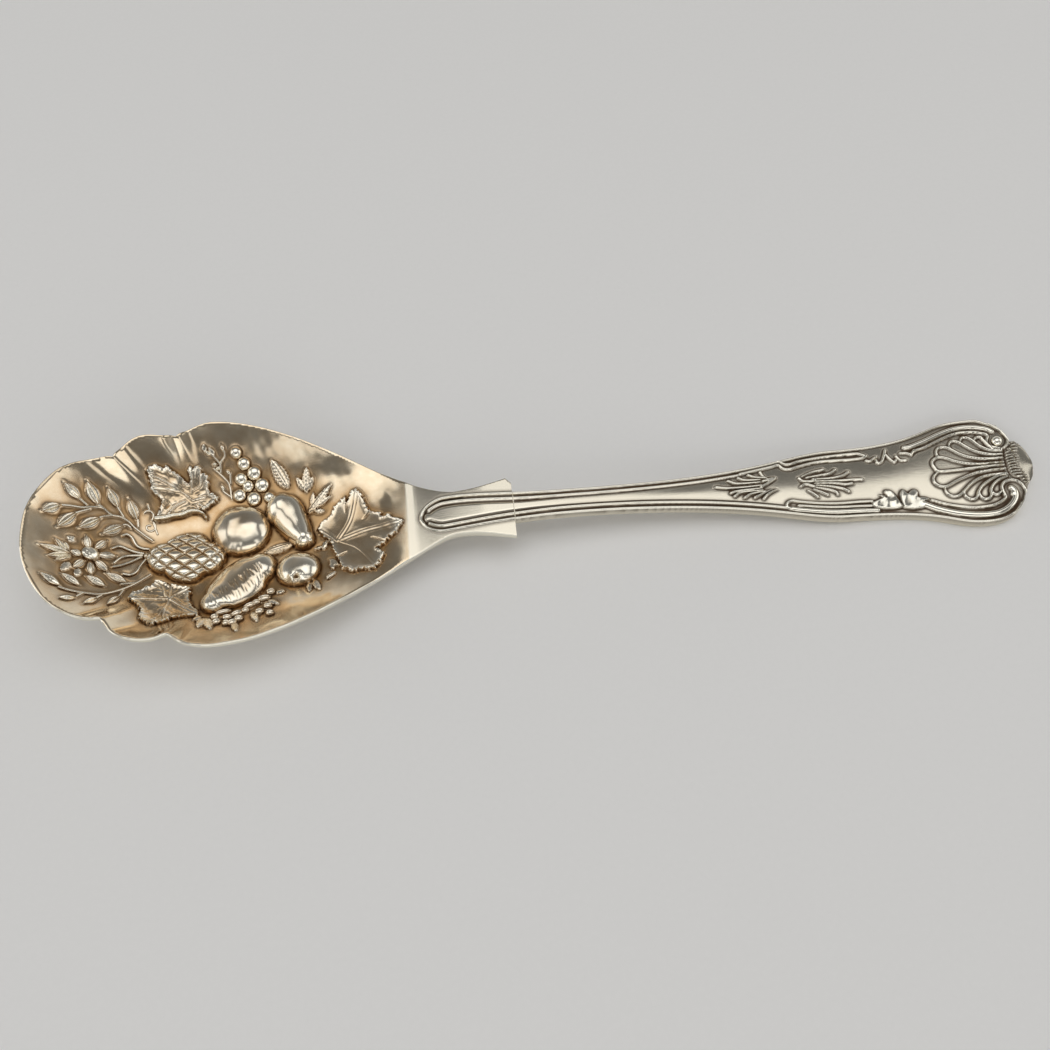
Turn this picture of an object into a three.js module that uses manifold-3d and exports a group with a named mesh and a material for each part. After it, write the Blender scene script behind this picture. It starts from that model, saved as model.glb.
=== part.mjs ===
// Berry spoon in silver: a gilt, fluted bowl raised with fruit, and a threaded handle with scrolls and a shell.
// Millimetres, +Z up, +X towards the end of the handle, the origin under the middle of the spoon.

import * as THREE from 'three';
import { mergeVertices } from 'three/addons/utils/BufferGeometryUtils.js';
import Module from 'manifold-3d';

// Lengths along the spoon, from the tip of the bowl to the end of the handle
const BOWL_LENGTH = 75;
const SHOULDER_LENGTH = 23.1;
const STEM_LENGTH = 69.9;
const TERMINAL_LENGTH = 42;

// Bowl: plan, depth and gauge
const BOWL_HALF_WIDTH = 26.2;
const WIDEST_FROM_TIP = 36;
const TIP_FULLNESS = 2.2;
const TIP_RIM_HEIGHT = 19;
const LOBE_RIM_HEIGHT = 15;
const LOBE_FROM_TIP = 13;
const NECK_HEIGHT = 6.4;
const NECK_DIP = 3;
const WALL_ROUNDNESS = 2.35;
const SHEET_GAUGE = 1.2;
const RIM_BEVEL = 0.5;

// Rim notches: bearing from the widest point in degrees, depth, and reach of the curve on each side in degrees.
// From each notch a crease of the given length runs into the bowl.
const NOTCHES = [
  { bearing: 109, depth: 2.7, tipReach: 23, neckReach: 20, crease: 11 },
  { bearing: 137.7, depth: 3.4, tipReach: 18, neckReach: 21, crease: 15 },
];
const CREASE_HEIGHT = 1.3;
const CREASE_HALF_WIDTH = 4.2;

// Shoulder: the plate behind the bowl, with square wings, and the lap joint under it
const WAIST_HALF_WIDTH = 5.1;
const WAIST_FROM_NECK = 11;
const WING_HALF_WIDTH = 7.2;
const SHOULDER_CROWN_HEIGHT = 8.2;
const SHOULDER_CROWN_FROM_END = 5.1;
const PLATE_GAUGE = 1.55;
const PLATE_EDGE_BEVEL = 0.25;
const LAP_LENGTH = 20;
const SOLDER_GAUGE = 0.15;
const DROP_HALF_WIDTH = 4.2;
const DROP_HEIGHT = 3.4;

// Stem and terminal: plan and side view
const STEM_HALF_WIDTH = 3;
const STEM_WAIST_FROM_SHOULDER = 12.9;
const STEM_UNDERSIDE_HEIGHT = 5.05;
const STEM_EDGE_HEIGHT = 1.5;
const FIDDLE_HALF_WIDTH = 8.4;
const SWELL_HALF_WIDTH = 12.6;
const SWELL_FROM_END = 12.7;
const VOLUTE_FROM_END = 4;
const VOLUTE_HALF_WIDTH = 7.4;
const TERMINAL_THICKNESS = 2.2;

// Threads, the raised lines along the edges
const THREAD_WIDTH = 0.76;
const THREAD_HEIGHT = 0.32;
const THREAD_PITCH = 0.88;

// Terminal ornament; each shell lobe has its tip at a share of the shell's length and of its half width
const LOOP_BEFORE_TERMINAL = 10;
const LOOP_LENGTH = 17;
const LOOP_WIDTH = 1.7;
const SCROLL_WIDTH = 1.5;
const SCROLL_LENGTH = 24;
const PEARL_RADIUS = 1.0;
const SHELL_BASE_FROM_END = 6.4;
const SHELL_LENGTH = 15.2;
const SHELL_HALF_WIDTH = 7.5;
const SHELL_BASE_HALF_WIDTH = 2.9;
const SHELL_LOBES = [[0.98, 0.28], [0.87, 0.68], [0.65, 0.92], [0.45, 1], [0.27, 0.86], [0.14, 0.7]];
const SHELL_HEIGHT = 1.0;
const LOBE_NOTCH = 0.13;
const FLUTE_DEPTH = 0.45;

// Fruit raised in the bowl: place from the widest point, half length, half width, turn in degrees, height.
// The neck of the pear is the length that it tapers out to beyond its round end.
const FRUIT = [
  { name: 'peach', at: [3.7, 4.7], size: [5.9, 5.2], turn: 0, height: 3.3 },
  { name: 'melon', at: [3.3, -8.3], size: [8.3, 4.1], turn: 34, height: 2.8 },
  { name: 'apple', at: [15.9, -6.4], size: [4.8, 4.4], turn: 0, height: 3.0 },
  { name: 'pineapple', at: [-7.7, -1.0], size: [7.7, 5.8], turn: 4, height: 2.4 },
  { name: 'pear', at: [12.7, 7.2], size: [4.6, 4.6], turn: -56, height: 3.0, neck: 4.6 },
];

// The hollow behind each fruit, as shares of the fruit's outline and height
const HOLLOW_SCALE = 0.78;
const HOLLOW_DEPTH = 0.6;

// Vine leaves and grapes in lower relief
const LEAVES = [
  { at: [-6.2, 12.8], radius: 7, turn: 100 },
  { at: [-10, -12], radius: 7, turn: -70 },
  { at: [28.6, -0.4], radius: 8.6, turn: 0 },
];
const LEAF_HEIGHT = 0.55;
const LEAF_LOBES = 5;
const GRAPE_RADIUS = 1.45;
const GRAPE_HEIGHT = 1.1;
const GRAPE_ROWS = [2, 3, 2, 1];
const GRAPE_AT = [8.3, 12.6];
const GRAPE_TURN = 118;

// How finely the surfaces are cut into facets
const FINEST_EDGE = 0.004;
const SIDE_COLUMNS = 20;
const TIP_COLUMNS = 34;
const NECK_COLUMNS = 8;
const INNER_RINGS = 13;
const OUTER_RINGS = 9;
const FRUIT_COLUMNS = 26;
const HOLLOW_COLUMNS = 16;
const GRAPE_COLUMNS = 10;
const ARCH_COLUMNS = 36;
const WIRE_SIDES = 8;
const LOOP_STEPS = 24;
const SCROLL_STEPS = 26;
const PLATE_STEP = 2.4;
const STEM_STEP = 2.6;
const TERMINAL_STEP = 1.1;

// Stations along X
const OVERALL_LENGTH = BOWL_LENGTH + SHOULDER_LENGTH + STEM_LENGTH + TERMINAL_LENGTH;
const tipX = -OVERALL_LENGTH / 2;
const widestX = tipX + WIDEST_FROM_TIP;
const neckX = tipX + BOWL_LENGTH;
const waistX = neckX + WAIST_FROM_NECK;
const shoulderX = neckX + SHOULDER_LENGTH;
const crownX = shoulderX - SHOULDER_CROWN_FROM_END;
const stemWaistX = shoulderX + STEM_WAIST_FROM_SHOULDER;
const stemEndX = shoulderX + STEM_LENGTH;
const endX = stemEndX + TERMINAL_LENGTH;
const swellX = endX - SWELL_FROM_END;
const voluteX = endX - VOLUTE_FROM_END;
const shellBaseX = endX - SHELL_BASE_FROM_END;
const dropX = shoulderX - LAP_LENGTH;
const loopX = stemEndX - LOOP_BEFORE_TERMINAL;

const wasm = await Module();
wasm.setup();

// A smooth line y(x) through knots; each knot has a slope and the reach of its curve handles behind and ahead
function lineThrough(knots) {
  const curves = knots.slice(1).map((to, i) => {
    const from = knots[i];
    return new THREE.CubicBezierCurve(
      new THREE.Vector2(from.x, from.y),
      new THREE.Vector2(from.x + from.ahead, from.y + from.slope * from.ahead),
      new THREE.Vector2(to.x - to.behind, to.y - to.slope * to.behind),
      new THREE.Vector2(to.x, to.y),
    );
  });
  return (x) => {
    const wanted = THREE.MathUtils.clamp(x, knots[0].x, knots.at(-1).x);
    const curve = curves.find((c) => wanted <= c.v3.x) ?? curves.at(-1);
    let low = 0;
    let high = 1;
    for (let step = 0; step < 30; step += 1) {
      const middle = (low + high) / 2;
      if (curve.getPoint(middle).x < wanted) low = middle;
      else high = middle;
    }
    return curve.getPoint((low + high) / 2).y;
  };
}

const knot = (x, y, slope, behind, ahead) => ({ x, y, slope, behind, ahead });
const smoothStep = THREE.MathUtils.smoothstep;

// Plan of the bowl side and the wings, as half widths
const sideSpan = waistX - widestX;
const sideHalfWidth = lineThrough([
  knot(widestX, BOWL_HALF_WIDTH, 0, 0, 0.37 * sideSpan),
  knot(waistX, WAIST_HALF_WIDTH, 0, 0.165 * sideSpan, 0.4 * (shoulderX - waistX)),
  knot(shoulderX, WING_HALF_WIDTH, 0.22, 0.35 * (shoulderX - waistX), 0),
]);

// Plan of the handle, from the drop under the bowl to the rounded end
const stemSpan = stemEndX - stemWaistX;
const swellSpan = swellX - stemEndX;
const handleHalfWidth = lineThrough([
  knot(dropX, 0.4, 4, 0, 0.5),
  knot(dropX + 1.3 * DROP_HALF_WIDTH, DROP_HALF_WIDTH, 0, 2.4, 0.35 * LAP_LENGTH),
  knot(stemWaistX, STEM_HALF_WIDTH, 0, 0.75 * LAP_LENGTH, 0.7 * stemSpan),
  knot(stemEndX, FIDDLE_HALF_WIDTH, 0, 0.19 * stemSpan, 0.74 * swellSpan),
  knot(swellX, SWELL_HALF_WIDTH, 0, 0.3 * swellSpan, 0.8 * (voluteX - swellX)),
  knot(voluteX, VOLUTE_HALF_WIDTH, -1.7, 0.25, 0.35 * VOLUTE_FROM_END),
  knot(endX, 0.5, -9, 0.55, 0),
]);

// Side view: the top of the rim, shoulder and handle, in one line from tip to end
const lobeX = tipX + LOBE_FROM_TIP;
const rimSpan = neckX - lobeX;
const topLine = lineThrough([
  knot(tipX, TIP_RIM_HEIGHT, -0.75, 0, 2),
  knot(lobeX, LOBE_RIM_HEIGHT, -0.12, 5, 0.85 * rimSpan),
  knot(neckX - NECK_DIP, NECK_HEIGHT, 0, 0.11 * rimSpan, 0.5 * (crownX - neckX)),
  knot(crownX, SHOULDER_CROWN_HEIGHT, 0, 0.62 * (crownX - neckX), 0.26 * (swellX - crownX)),
  knot(swellX - SWELL_FROM_END, TERMINAL_THICKNESS + THREAD_HEIGHT, 0, 0.22 * (swellX - crownX), 4),
  knot(endX, TERMINAL_THICKNESS + THREAD_HEIGHT, 0, 4, 0),
]);

// Side view: the underside of the stem, which comes down to the surface under the terminal
const flatX = stemEndX + 0.2 * TERMINAL_LENGTH;
const underLine = lineThrough([
  knot(dropX, DROP_HEIGHT, 0.09, 0, 0.4 * LAP_LENGTH),
  knot(shoulderX + 5, STEM_UNDERSIDE_HEIGHT, 0, 0.35 * LAP_LENGTH, 0.22 * (flatX - shoulderX)),
  knot(flatX, 0, 0, 0.28 * (flatX - shoulderX), 3),
  knot(endX, 0, 0, 3, 0),
]);

// Side view: the floor of the bowl along its middle
const floorLine = lineThrough([
  knot(widestX, SHEET_GAUGE, 0, 0, 0.5 * (crownX - widestX)),
  knot(crownX, SHOULDER_CROWN_HEIGHT, 0, 0.36 * (crownX - widestX), 0),
]);

// The plane on which the shoulder plate lies on the handle
const lapSlope = (topLine(shoulderX) - topLine(dropX)) / LAP_LENGTH;
const lapPlane = (x) => topLine(shoulderX) - PLATE_GAUGE + lapSlope * (x - shoulderX);

// Radius of the bowl plan from its widest point, smooth, and then with the notches taken out
function envelopeRadius(angle) {
  const along = Math.abs(Math.cos(angle)) / WIDEST_FROM_TIP;
  const across = Math.abs(Math.sin(angle)) / BOWL_HALF_WIDTH;
  return (along ** TIP_FULLNESS + across ** TIP_FULLNESS) ** (-1 / TIP_FULLNESS);
}

function rimRadius(angle) {
  const bearing = THREE.MathUtils.radToDeg(Math.abs(angle));
  return NOTCHES.reduce((radius, notch) => {
    const reach = bearing > notch.bearing ? notch.tipReach : notch.neckReach;
    const away = Math.min(1, Math.abs(bearing - notch.bearing) / reach);
    return radius - notch.depth * (1 - away) ** 2;
  }, envelopeRadius(angle));
}

// The plain dish of the bowl, without creases or fruit
function dishHeight(x, y) {
  if (x > widestX) {
    const floor = floorLine(x);
    const across = Math.abs(y) / sideHalfWidth(x);
    return floor + (topLine(x) - floor) * across ** WALL_ROUNDNESS;
  }
  const angle = Math.atan2(y, x - widestX);
  const radius = envelopeRadius(angle);
  const reach = Math.hypot(x - widestX, y) / radius;
  const rim = topLine(widestX + radius * Math.cos(angle));
  return SHEET_GAUGE + (rim - SHEET_GAUGE) * reach ** WALL_ROUNDNESS;
}

// Sharp creases between the flutes of the rim, which die out towards the middle
function creaseHeight(x, y) {
  const radius = Math.hypot(x - widestX, y);
  const angle = Math.atan2(Math.abs(y), x - widestX);
  return NOTCHES.reduce((height, notch) => {
    const bearing = THREE.MathUtils.degToRad(notch.bearing);
    const inwards = Math.max(0, rimRadius(bearing) - radius) / notch.crease;
    const aside = Math.abs(angle - bearing) * radius / CREASE_HALF_WIDTH;
    if (inwards >= 1 || aside >= 1) return height;
    return height + CREASE_HEIGHT * (1 - inwards) ** 1.5 * (1 - aside) ** 2;
  }, 0);
}

const sheetFront = (x, y) => dishHeight(x, y) + creaseHeight(x, y);
const dome = (reach) => (reach < 1 ? (1 - reach * reach) ** 0.62 : 0);

// The back of the bowl lies one gauge below the front, square to the dish
function backPoint(x, y) {
  const step = 0.05;
  const slopeX = (dishHeight(x + step, y) - dishHeight(x - step, y)) / (2 * step);
  const slopeY = (dishHeight(x, y + step) - dishHeight(x, y - step)) / (2 * step);
  const normal = new THREE.Vector3(-slopeX, -slopeY, 1).normalize();
  const back = new THREE.Vector3(x, y, sheetFront(x, y)).addScaledVector(normal, -SHEET_GAUGE);
  back.z = Math.max(0, back.z);
  return back;
}

// One closed surface, made of rows of points that are joined side by side
class Skin {
  constructor() {
    this.points = [];
    this.faces = [];
  }

  row(points) {
    return points.map((point) => this.points.push(point) - 1);
  }

  // How far along a row each of its points lies, from 0 to 1
  shares(row) {
    const lengths = row.map((corner, i) => (i ? this.points[corner].distanceTo(this.points[row[i - 1]]) : 0));
    const along = lengths.map((_, i) => lengths.slice(0, i + 1).reduce((sum, length) => sum + length, 0));
    return along.map((length) => length / along.at(-1));
  }

  // Joins two rows: point to point where the counts are the same, and otherwise by how far along the points lie
  join(first, second) {
    const even = first.length === second.length;
    const [alongFirst, alongSecond] = [first, second].map((row) => (even ? row.map((_, i) => i) : this.shares(row)));
    let i = 0;
    let j = 0;
    while (i < first.length - 1 || j < second.length - 1) {
      const firstNext = alongFirst[i + 1] + alongFirst[i] <= alongSecond[j + 1] + alongSecond[j];
      if (j === second.length - 1 || (i < first.length - 1 && firstNext)) {
        this.faces.push([first[i], first[i + 1], second[j]]);
        i += 1;
      } else {
        this.faces.push([second[j + 1], second[j], first[i]]);
        j += 1;
      }
    }
  }

  joinRings(first, second) {
    this.join([...first, first[0]], [...second, second[0]]);
  }

  // Closes a ring with a point in its middle, at the start or at the end of a run of rings
  close(ring, middle, atStart) {
    const [centre] = this.row([middle]);
    ring.forEach((corner, i) => {
      const next = ring[(i + 1) % ring.length];
      this.faces.push(atStart ? [centre, next, corner] : [centre, corner, next]);
    });
  }

  geometry() {
    const volume = this.faces.reduce((sum, [a, b, c]) => {
      const [pa, pb, pc] = [this.points[a], this.points[b], this.points[c]];
      return sum + pa.dot(new THREE.Vector3().crossVectors(pb, pc)) / 6;
    }, 0);
    const faces = volume > 0 ? this.faces : this.faces.map(([a, b, c]) => [a, c, b]);
    const geometry = new THREE.BufferGeometry();
    geometry.setAttribute('position', new THREE.Float32BufferAttribute(this.points.flatMap((p) => p.toArray()), 3));
    geometry.setIndex(faces.flat());
    return geometry;
  }
}

// Numbers from start to end, in steps no longer than step, without the first
function stations(start, end, step) {
  const count = Math.max(1, Math.ceil((end - start) / step));
  return Array.from({ length: count }, (_, i) => start + (end - start) * (i + 1) / count);
}

// Raised threads by distance from the edge of the stem
const ridge = (distance, centre, width) => dome(Math.abs(distance - centre) / (width / 2));
const threads = (inset) => THREAD_HEIGHT
  * (ridge(inset, THREAD_WIDTH / 2, THREAD_WIDTH) + ridge(inset, THREAD_WIDTH / 2 + THREAD_PITCH, THREAD_WIDTH));
const threadShares = [0.14, 0.5, 0.86, 1];
const threadInsets = [0, THREAD_PITCH].flatMap((start) => threadShares.map((share) => start + share * THREAD_WIDTH));

// The threads run on over the shoulder plate and end there in a round arch
const stemHalfWidth = handleHalfWidth(shoulderX);
const archX = dropX + stemHalfWidth;

// Half of the rim, from the neck to the tip, with a corner at each notch
function rimHalf() {
  const side = Array.from({ length: SIDE_COLUMNS }, (_, i) => {
    const x = neckX + (widestX - neckX) * (i / SIDE_COLUMNS);
    return new THREE.Vector2(x, sideHalfWidth(x));
  });
  const bearings = [90, ...NOTCHES.map((notch) => notch.bearing), 180];
  const tip = bearings.slice(1).flatMap((to, i) => {
    const from = bearings[i];
    const count = 2 * Math.round(TIP_COLUMNS * (to - from) / 180);
    return Array.from({ length: count }, (_, k) => {
      const angle = THREE.MathUtils.degToRad(from + (to - from) * (k / count));
      return new THREE.Vector2(widestX + rimRadius(angle) * Math.cos(angle), rimRadius(angle) * Math.sin(angle));
    });
  });
  return [...side, ...tip];
}

// The whole rim, from the neck on the far side, round the tip, to the neck on the near side
function rimPlan() {
  const half = rimHalf();
  const tip = new THREE.Vector2(tipX, 0);
  const mirrored = half.map((p) => new THREE.Vector2(p.x, -p.y)).reverse();
  return [...half, tip, ...mirrored];
}

// Points across the neck, from the near side to the far side, without the two corners
function neckPlan(count) {
  const width = sideHalfWidth(neckX);
  return Array.from({ length: count - 1 }, (_, i) => new THREE.Vector2(neckX, width * (2 * (i + 1) / count - 1)));
}

function sheetGeometry() {
  const skin = new Skin();
  const middle = new THREE.Vector2(widestX, 0);
  const rim = rimPlan();
  const bevelled = rim.map((p) => {
    const bevel = RIM_BEVEL * smoothStep(Math.abs(p.x - neckX), 0, WAIST_FROM_NECK);
    return p.clone().addScaledVector(p.clone().sub(middle).normalize(), -bevel);
  });
  const innerPlan = [...bevelled, ...neckPlan(NECK_COLUMNS)];
  const outerPlan = [...rim.filter((_, i) => i % 2 === 0), ...neckPlan(NECK_COLUMNS / 2)];
  const scaled = (plan, share) => plan.map((p) => middle.clone().lerp(p, share));

  // Front of the bowl, from its middle out to the rim
  const innerRings = Array.from({ length: INNER_RINGS }, (_, i) => {
    const plan = scaled(innerPlan, (i + 1) / INNER_RINGS);
    return skin.row(plan.map((p) => new THREE.Vector3(p.x, p.y, sheetFront(p.x, p.y))));
  });
  skin.close(innerRings[0], new THREE.Vector3(widestX, 0, sheetFront(widestX, 0)), true);
  innerRings.slice(1).forEach((ring, i) => skin.joinRings(innerRings[i], ring));

  // Back of the bowl, from the rim in to its middle
  const outerRings = Array.from({ length: OUTER_RINGS }, (_, i) => {
    const plan = scaled(outerPlan, 1 - i / OUTER_RINGS);
    return skin.row(plan.map((p) => {
      if (i > 0) return backPoint(p.x, p.y);
      const onNeck = Math.abs(p.x - neckX) < 1e-9;
      return new THREE.Vector3(p.x, p.y, onNeck ? lapPlane(p.x) : sheetFront(p.x, p.y) - 1.3 * SHEET_GAUGE);
    }));
  });
  outerRings.slice(1).forEach((ring, i) => skin.joinRings(outerRings[i], ring));
  skin.close(outerRings.at(-1), backPoint(widestX, 0), false);

  // The edge of the sheet, round the rim from neck to neck
  const innerRim = innerRings.at(-1);
  const outerRim = outerRings[0];
  const outerCount = Math.ceil(rim.length / 2);
  skin.join(innerRim.slice(0, rim.length), outerRim.slice(0, outerCount));

  // The shoulder plate goes on from the neck to the square ends of its wings
  const front = [...innerRim.slice(rim.length - 1), innerRim[0]];
  const back = [...outerRim.slice(outerCount - 1), outerRim[0]];
  let section = [...front, ...back.reverse()];
  const lastX = shoulderX - SOLDER_GAUGE;
  const plain = [...stations(neckX, archX, 1.2), archX + 0.02];
  const threaded = [archX + 0.03, ...stations(archX + 0.03, lastX, PLATE_STEP)];
  [...plain.map((x) => plateSection(x, false)), ...threaded.map((x) => plateSection(x, true))].forEach((points) => {
    const next = skin.row(points);
    skin.joinRings(section, next);
    section = next;
  });
  skin.close(section, new THREE.Vector3(lastX, 0, (topLine(lastX) + lapPlane(lastX)) / 2), false);
  return skin.geometry();
}

// The top of the shoulder plate sinks by one thread height, so that the threads stand level with the rim
const plateTop = (x) => topLine(x) - THREAD_HEIGHT * smoothStep(x, neckX, neckX + 3);

// Cross-section of the shoulder plate: over the top from the near edge to the far edge, and back underneath
function plateSection(x, threaded) {
  const width = sideHalfWidth(x);
  const border = [width, width - PLATE_EDGE_BEVEL, (width + stemHalfWidth) / 2, stemHalfWidth];
  const half = [...border, ...threadInsets.map((inset) => stemHalfWidth - inset)];
  const across = [...half.map((y) => -y), 0, ...half.toReversed()];
  const top = across.map((y) => {
    const drop = Math.abs(y) === width ? PLATE_EDGE_BEVEL : 0;
    const relief = threaded ? threads(stemHalfWidth - Math.abs(y)) : 0;
    return new THREE.Vector3(x, y, plateTop(x) - drop + relief);
  });
  const under = [1, 0, -1].map((share) => new THREE.Vector3(x, share * width, lapPlane(x)));
  return [...top, ...under];
}

// A form that is raised out of a surface: rings round its middle, out to an outline, on a base inside the sheet
function raisedForm({ at, radius, height, surface, sunk, shares, columns }) {
  const skin = new Skin();
  const rings = shares.map((share) => skin.row(Array.from({ length: columns }, (_, i) => {
    const angle = 2 * Math.PI * i / columns;
    const x = at[0] + share * radius(angle) * Math.cos(angle);
    const y = at[1] + share * radius(angle) * Math.sin(angle);
    return new THREE.Vector3(x, y, surface(x, y) + height(share, angle));
  })));
  const foot = skin.row(rings.at(-1).map((corner) => {
    const point = skin.points[corner];
    return new THREE.Vector3(point.x, point.y, surface(point.x, point.y) - sunk);
  }));
  skin.close(rings[0], new THREE.Vector3(...at, surface(...at) + height(0, 0)), true);
  [...rings.slice(1), foot].forEach((ring, i) => skin.joinRings(rings[i], ring));
  skin.close(foot, new THREE.Vector3(...at, surface(...at) - sunk), false);
  return skin.geometry();
}

// Outline of a fruit: an ellipse, drawn out on one side where it has a neck
function fruitRadius(fruit, angle) {
  const turned = angle - THREE.MathUtils.degToRad(fruit.turn);
  const [long, wide] = fruit.size;
  const round = long * wide / Math.hypot(wide * Math.cos(turned), long * Math.sin(turned));
  return round + (fruit.neck ?? 0) * Math.max(0, Math.cos(turned)) ** 6;
}

const onBowl = ([x, y]) => [widestX + x, y];
const domeShares = [0.2, 0.42, 0.62, 0.78, 0.9, 0.97, 1];

function fruitForm(fruit) {
  return raisedForm({
    at: onBowl(fruit.at),
    radius: (angle) => fruitRadius(fruit, angle),
    height: (share) => fruit.height * dome(share),
    surface: sheetFront,
    sunk: SHEET_GAUGE / 2,
    shares: domeShares,
    columns: FRUIT_COLUMNS,
  });
}

// The sheet is pushed up from behind, so each fruit leaves a softer hollow in the back of the bowl
function hollowForm(fruit) {
  return raisedForm({
    at: onBowl(fruit.at),
    radius: (angle) => HOLLOW_SCALE * fruitRadius(fruit, angle),
    height: (share) => HOLLOW_DEPTH * fruit.height * dome(share),
    surface: (x, y) => sheetFront(x, y) - SHEET_GAUGE,
    sunk: SHEET_GAUGE,
    shares: [0.35, 0.7, 1],
    columns: HOLLOW_COLUMNS,
  });
}

function leafForm(leaf) {
  const turn = THREE.MathUtils.degToRad(leaf.turn);
  return raisedForm({
    at: onBowl(leaf.at),
    radius: (angle) => leaf.radius * (0.8 + 0.2 * Math.cos(LEAF_LOBES * (angle - turn))),
    height: (share) => LEAF_HEIGHT * (share < 1 ? 1 : 0.6),
    surface: sheetFront,
    sunk: SHEET_GAUGE / 2,
    shares: [0.5, 0.9, 1],
    columns: 6 * LEAF_LOBES,
  });
}

// A bunch of grapes, in rows that lie in the gaps of the row before
function grapeForms() {
  const turn = THREE.MathUtils.degToRad(GRAPE_TURN);
  return GRAPE_ROWS.flatMap((count, row) => Array.from({ length: count }, (_, i) => {
    const along = 1.75 * GRAPE_RADIUS * row;
    const across = 2 * GRAPE_RADIUS * (i - (count - 1) / 2);
    const x = GRAPE_AT[0] + along * Math.cos(turn) - across * Math.sin(turn);
    const y = GRAPE_AT[1] + along * Math.sin(turn) + across * Math.cos(turn);
    return raisedForm({
      at: onBowl([x, y]),
      radius: () => 0.98 * GRAPE_RADIUS,
      height: (share) => GRAPE_HEIGHT * dome(share),
      surface: sheetFront,
      sunk: SHEET_GAUGE / 2,
      shares: [0.5, 0.85, 1],
      columns: GRAPE_COLUMNS,
    });
  }));
}

// The round end of the threads on the shoulder plate
function archForm() {
  return raisedForm({
    at: [archX, 0],
    radius: () => stemHalfWidth,
    height: (share) => threads(stemHalfWidth * (1 - share)),
    surface: plateTop,
    sunk: PLATE_GAUGE / 2,
    shares: [0, ...threadInsets].map((inset) => 1 - inset / stemHalfWidth).toReversed(),
    columns: ARCH_COLUMNS,
  });
}

// Threads on the top of the handle: both run along the stem, and the outer one goes on round the terminal
function handleRelief(x, inset) {
  const inner = 1 - smoothStep(x, loopX - 0.6, loopX);
  return THREAD_HEIGHT * (ridge(inset, THREAD_WIDTH / 2, THREAD_WIDTH)
    + inner * ridge(inset, THREAD_WIDTH / 2 + THREAD_PITCH, THREAD_WIDTH));
}

// Cross-section of the handle blank: over the top, down the far side and back underneath
function handleSection(x, middleCount) {
  const width = handleHalfWidth(x);
  const shrink = Math.min(1, width / stemHalfWidth);
  const insets = [0, ...threadInsets, 1.95, 2.3, 2.65].map((inset) => Math.min(inset, 0.9 * stemHalfWidth) * shrink);
  const flank = insets.map((inset) => width - inset);
  const innerMost = flank.at(-1);
  const middle = Array.from({ length: middleCount - 1 }, (_, i) => innerMost * (2 * (i + 1) / middleCount - 1));
  const across = [...flank.map((y) => -y), ...middle, ...flank.toReversed()];
  const ground = topLine(x) - THREAD_HEIGHT;
  const top = across.map((y) => new THREE.Vector3(x, y, ground + shrink * handleRelief(x, width - Math.abs(y))));
  const low = underLine(x);
  const edgeLow = Math.max(low + 0.3, ground - STEM_EDGE_HEIGHT);
  const soleShare = THREE.MathUtils.lerp(0.5, 1, smoothStep(x, stemWaistX, flatX));
  const sole = Math.max(0.5 * width, soleShare * width - 0.35 * shrink);
  const bulge = (low + edgeLow) / 2 - 0.12 * (edgeLow - low);
  const underside = [
    [width, edgeLow],
    [(width + sole) / 2, bulge],
    [sole, low],
    [-sole, low],
    [-(width + sole) / 2, bulge],
    [-width, edgeLow],
  ];
  return [...top, ...underside.map(([y, z]) => new THREE.Vector3(x, y, z))];
}

function handleBlank() {
  const skin = new Skin();
  const narrow = [dropX, ...stations(dropX, dropX + DROP_HALF_WIDTH, 0.8),
    ...stations(dropX + DROP_HALF_WIDTH, shoulderX, PLATE_STEP),
    ...stations(shoulderX, loopX - 0.6, STEM_STEP), loopX];
  const broad = [...stations(loopX, swellX, 1.8 * TERMINAL_STEP),
    ...stations(swellX, voluteX, TERMINAL_STEP), ...stations(voluteX, endX, 0.5)];
  const rings = [
    ...narrow.map((x) => skin.row(handleSection(x, 2))),
    ...broad.map((x) => skin.row(handleSection(x, 4))),
  ];
  rings.slice(1).forEach((ring, i) => skin.joinRings(rings[i], ring));
  const middle = (x) => new THREE.Vector3(x, 0, (topLine(x) - THREAD_HEIGHT + underLine(x)) / 2);
  skin.close(rings[0], middle(dropX), true);
  skin.close(rings.at(-1), middle(endX), false);
  return skin.geometry();
}

// Ground level of the terminal, from which its ornament stands up
const groundAt = (x) => topLine(x) - THREAD_HEIGHT;

// A path that keeps a distance from the edge of the handle, from one station to another
function alongEdge(from, to, inset, count) {
  return Array.from({ length: count + 1 }, (_, i) => {
    const x = THREE.MathUtils.lerp(from, to, i / count);
    return [x, handleHalfWidth(x) - inset];
  });
}

const pathThrough = (points, side) => new THREE.CatmullRomCurve3(
  points.map(([x, y]) => new THREE.Vector3(x, side * y, groundAt(x))),
);

// The long loop beside the fans: out along the edge, round at the end nearer the bowl, and back
function loopPath(side) {
  const near = THREAD_WIDTH + 0.45;
  const far = near + LOOP_WIDTH - THREAD_WIDTH / 2;
  const openX = loopX + LOOP_LENGTH;
  const middle = handleHalfWidth(loopX) - (near + far) / 2;
  return pathThrough([
    ...alongEdge(loopX + 1, openX, near, 4).toReversed(),
    [loopX + 0.2, middle],
    ...alongEdge(loopX + 1, openX, far, 4),
  ], side);
}

// The scroll: along the edge of the terminal and round into its volute
function scrollPath(side) {
  const inset = THREAD_WIDTH + 0.25 + SCROLL_WIDTH / 2;
  const edge = alongEdge(voluteX - SCROLL_LENGTH + VOLUTE_FROM_END, voluteX - 3.2, inset, 6);
  const curl = [
    [voluteX - 1.6, VOLUTE_HALF_WIDTH + 0.2],
    [voluteX - 2, VOLUTE_HALF_WIDTH - 1.8],
    [voluteX - 3.4, VOLUTE_HALF_WIDTH - 2],
    [voluteX - 4.2, VOLUTE_HALF_WIDTH - 1],
  ];
  return pathThrough([...edge, ...curl], side);
}

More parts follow.
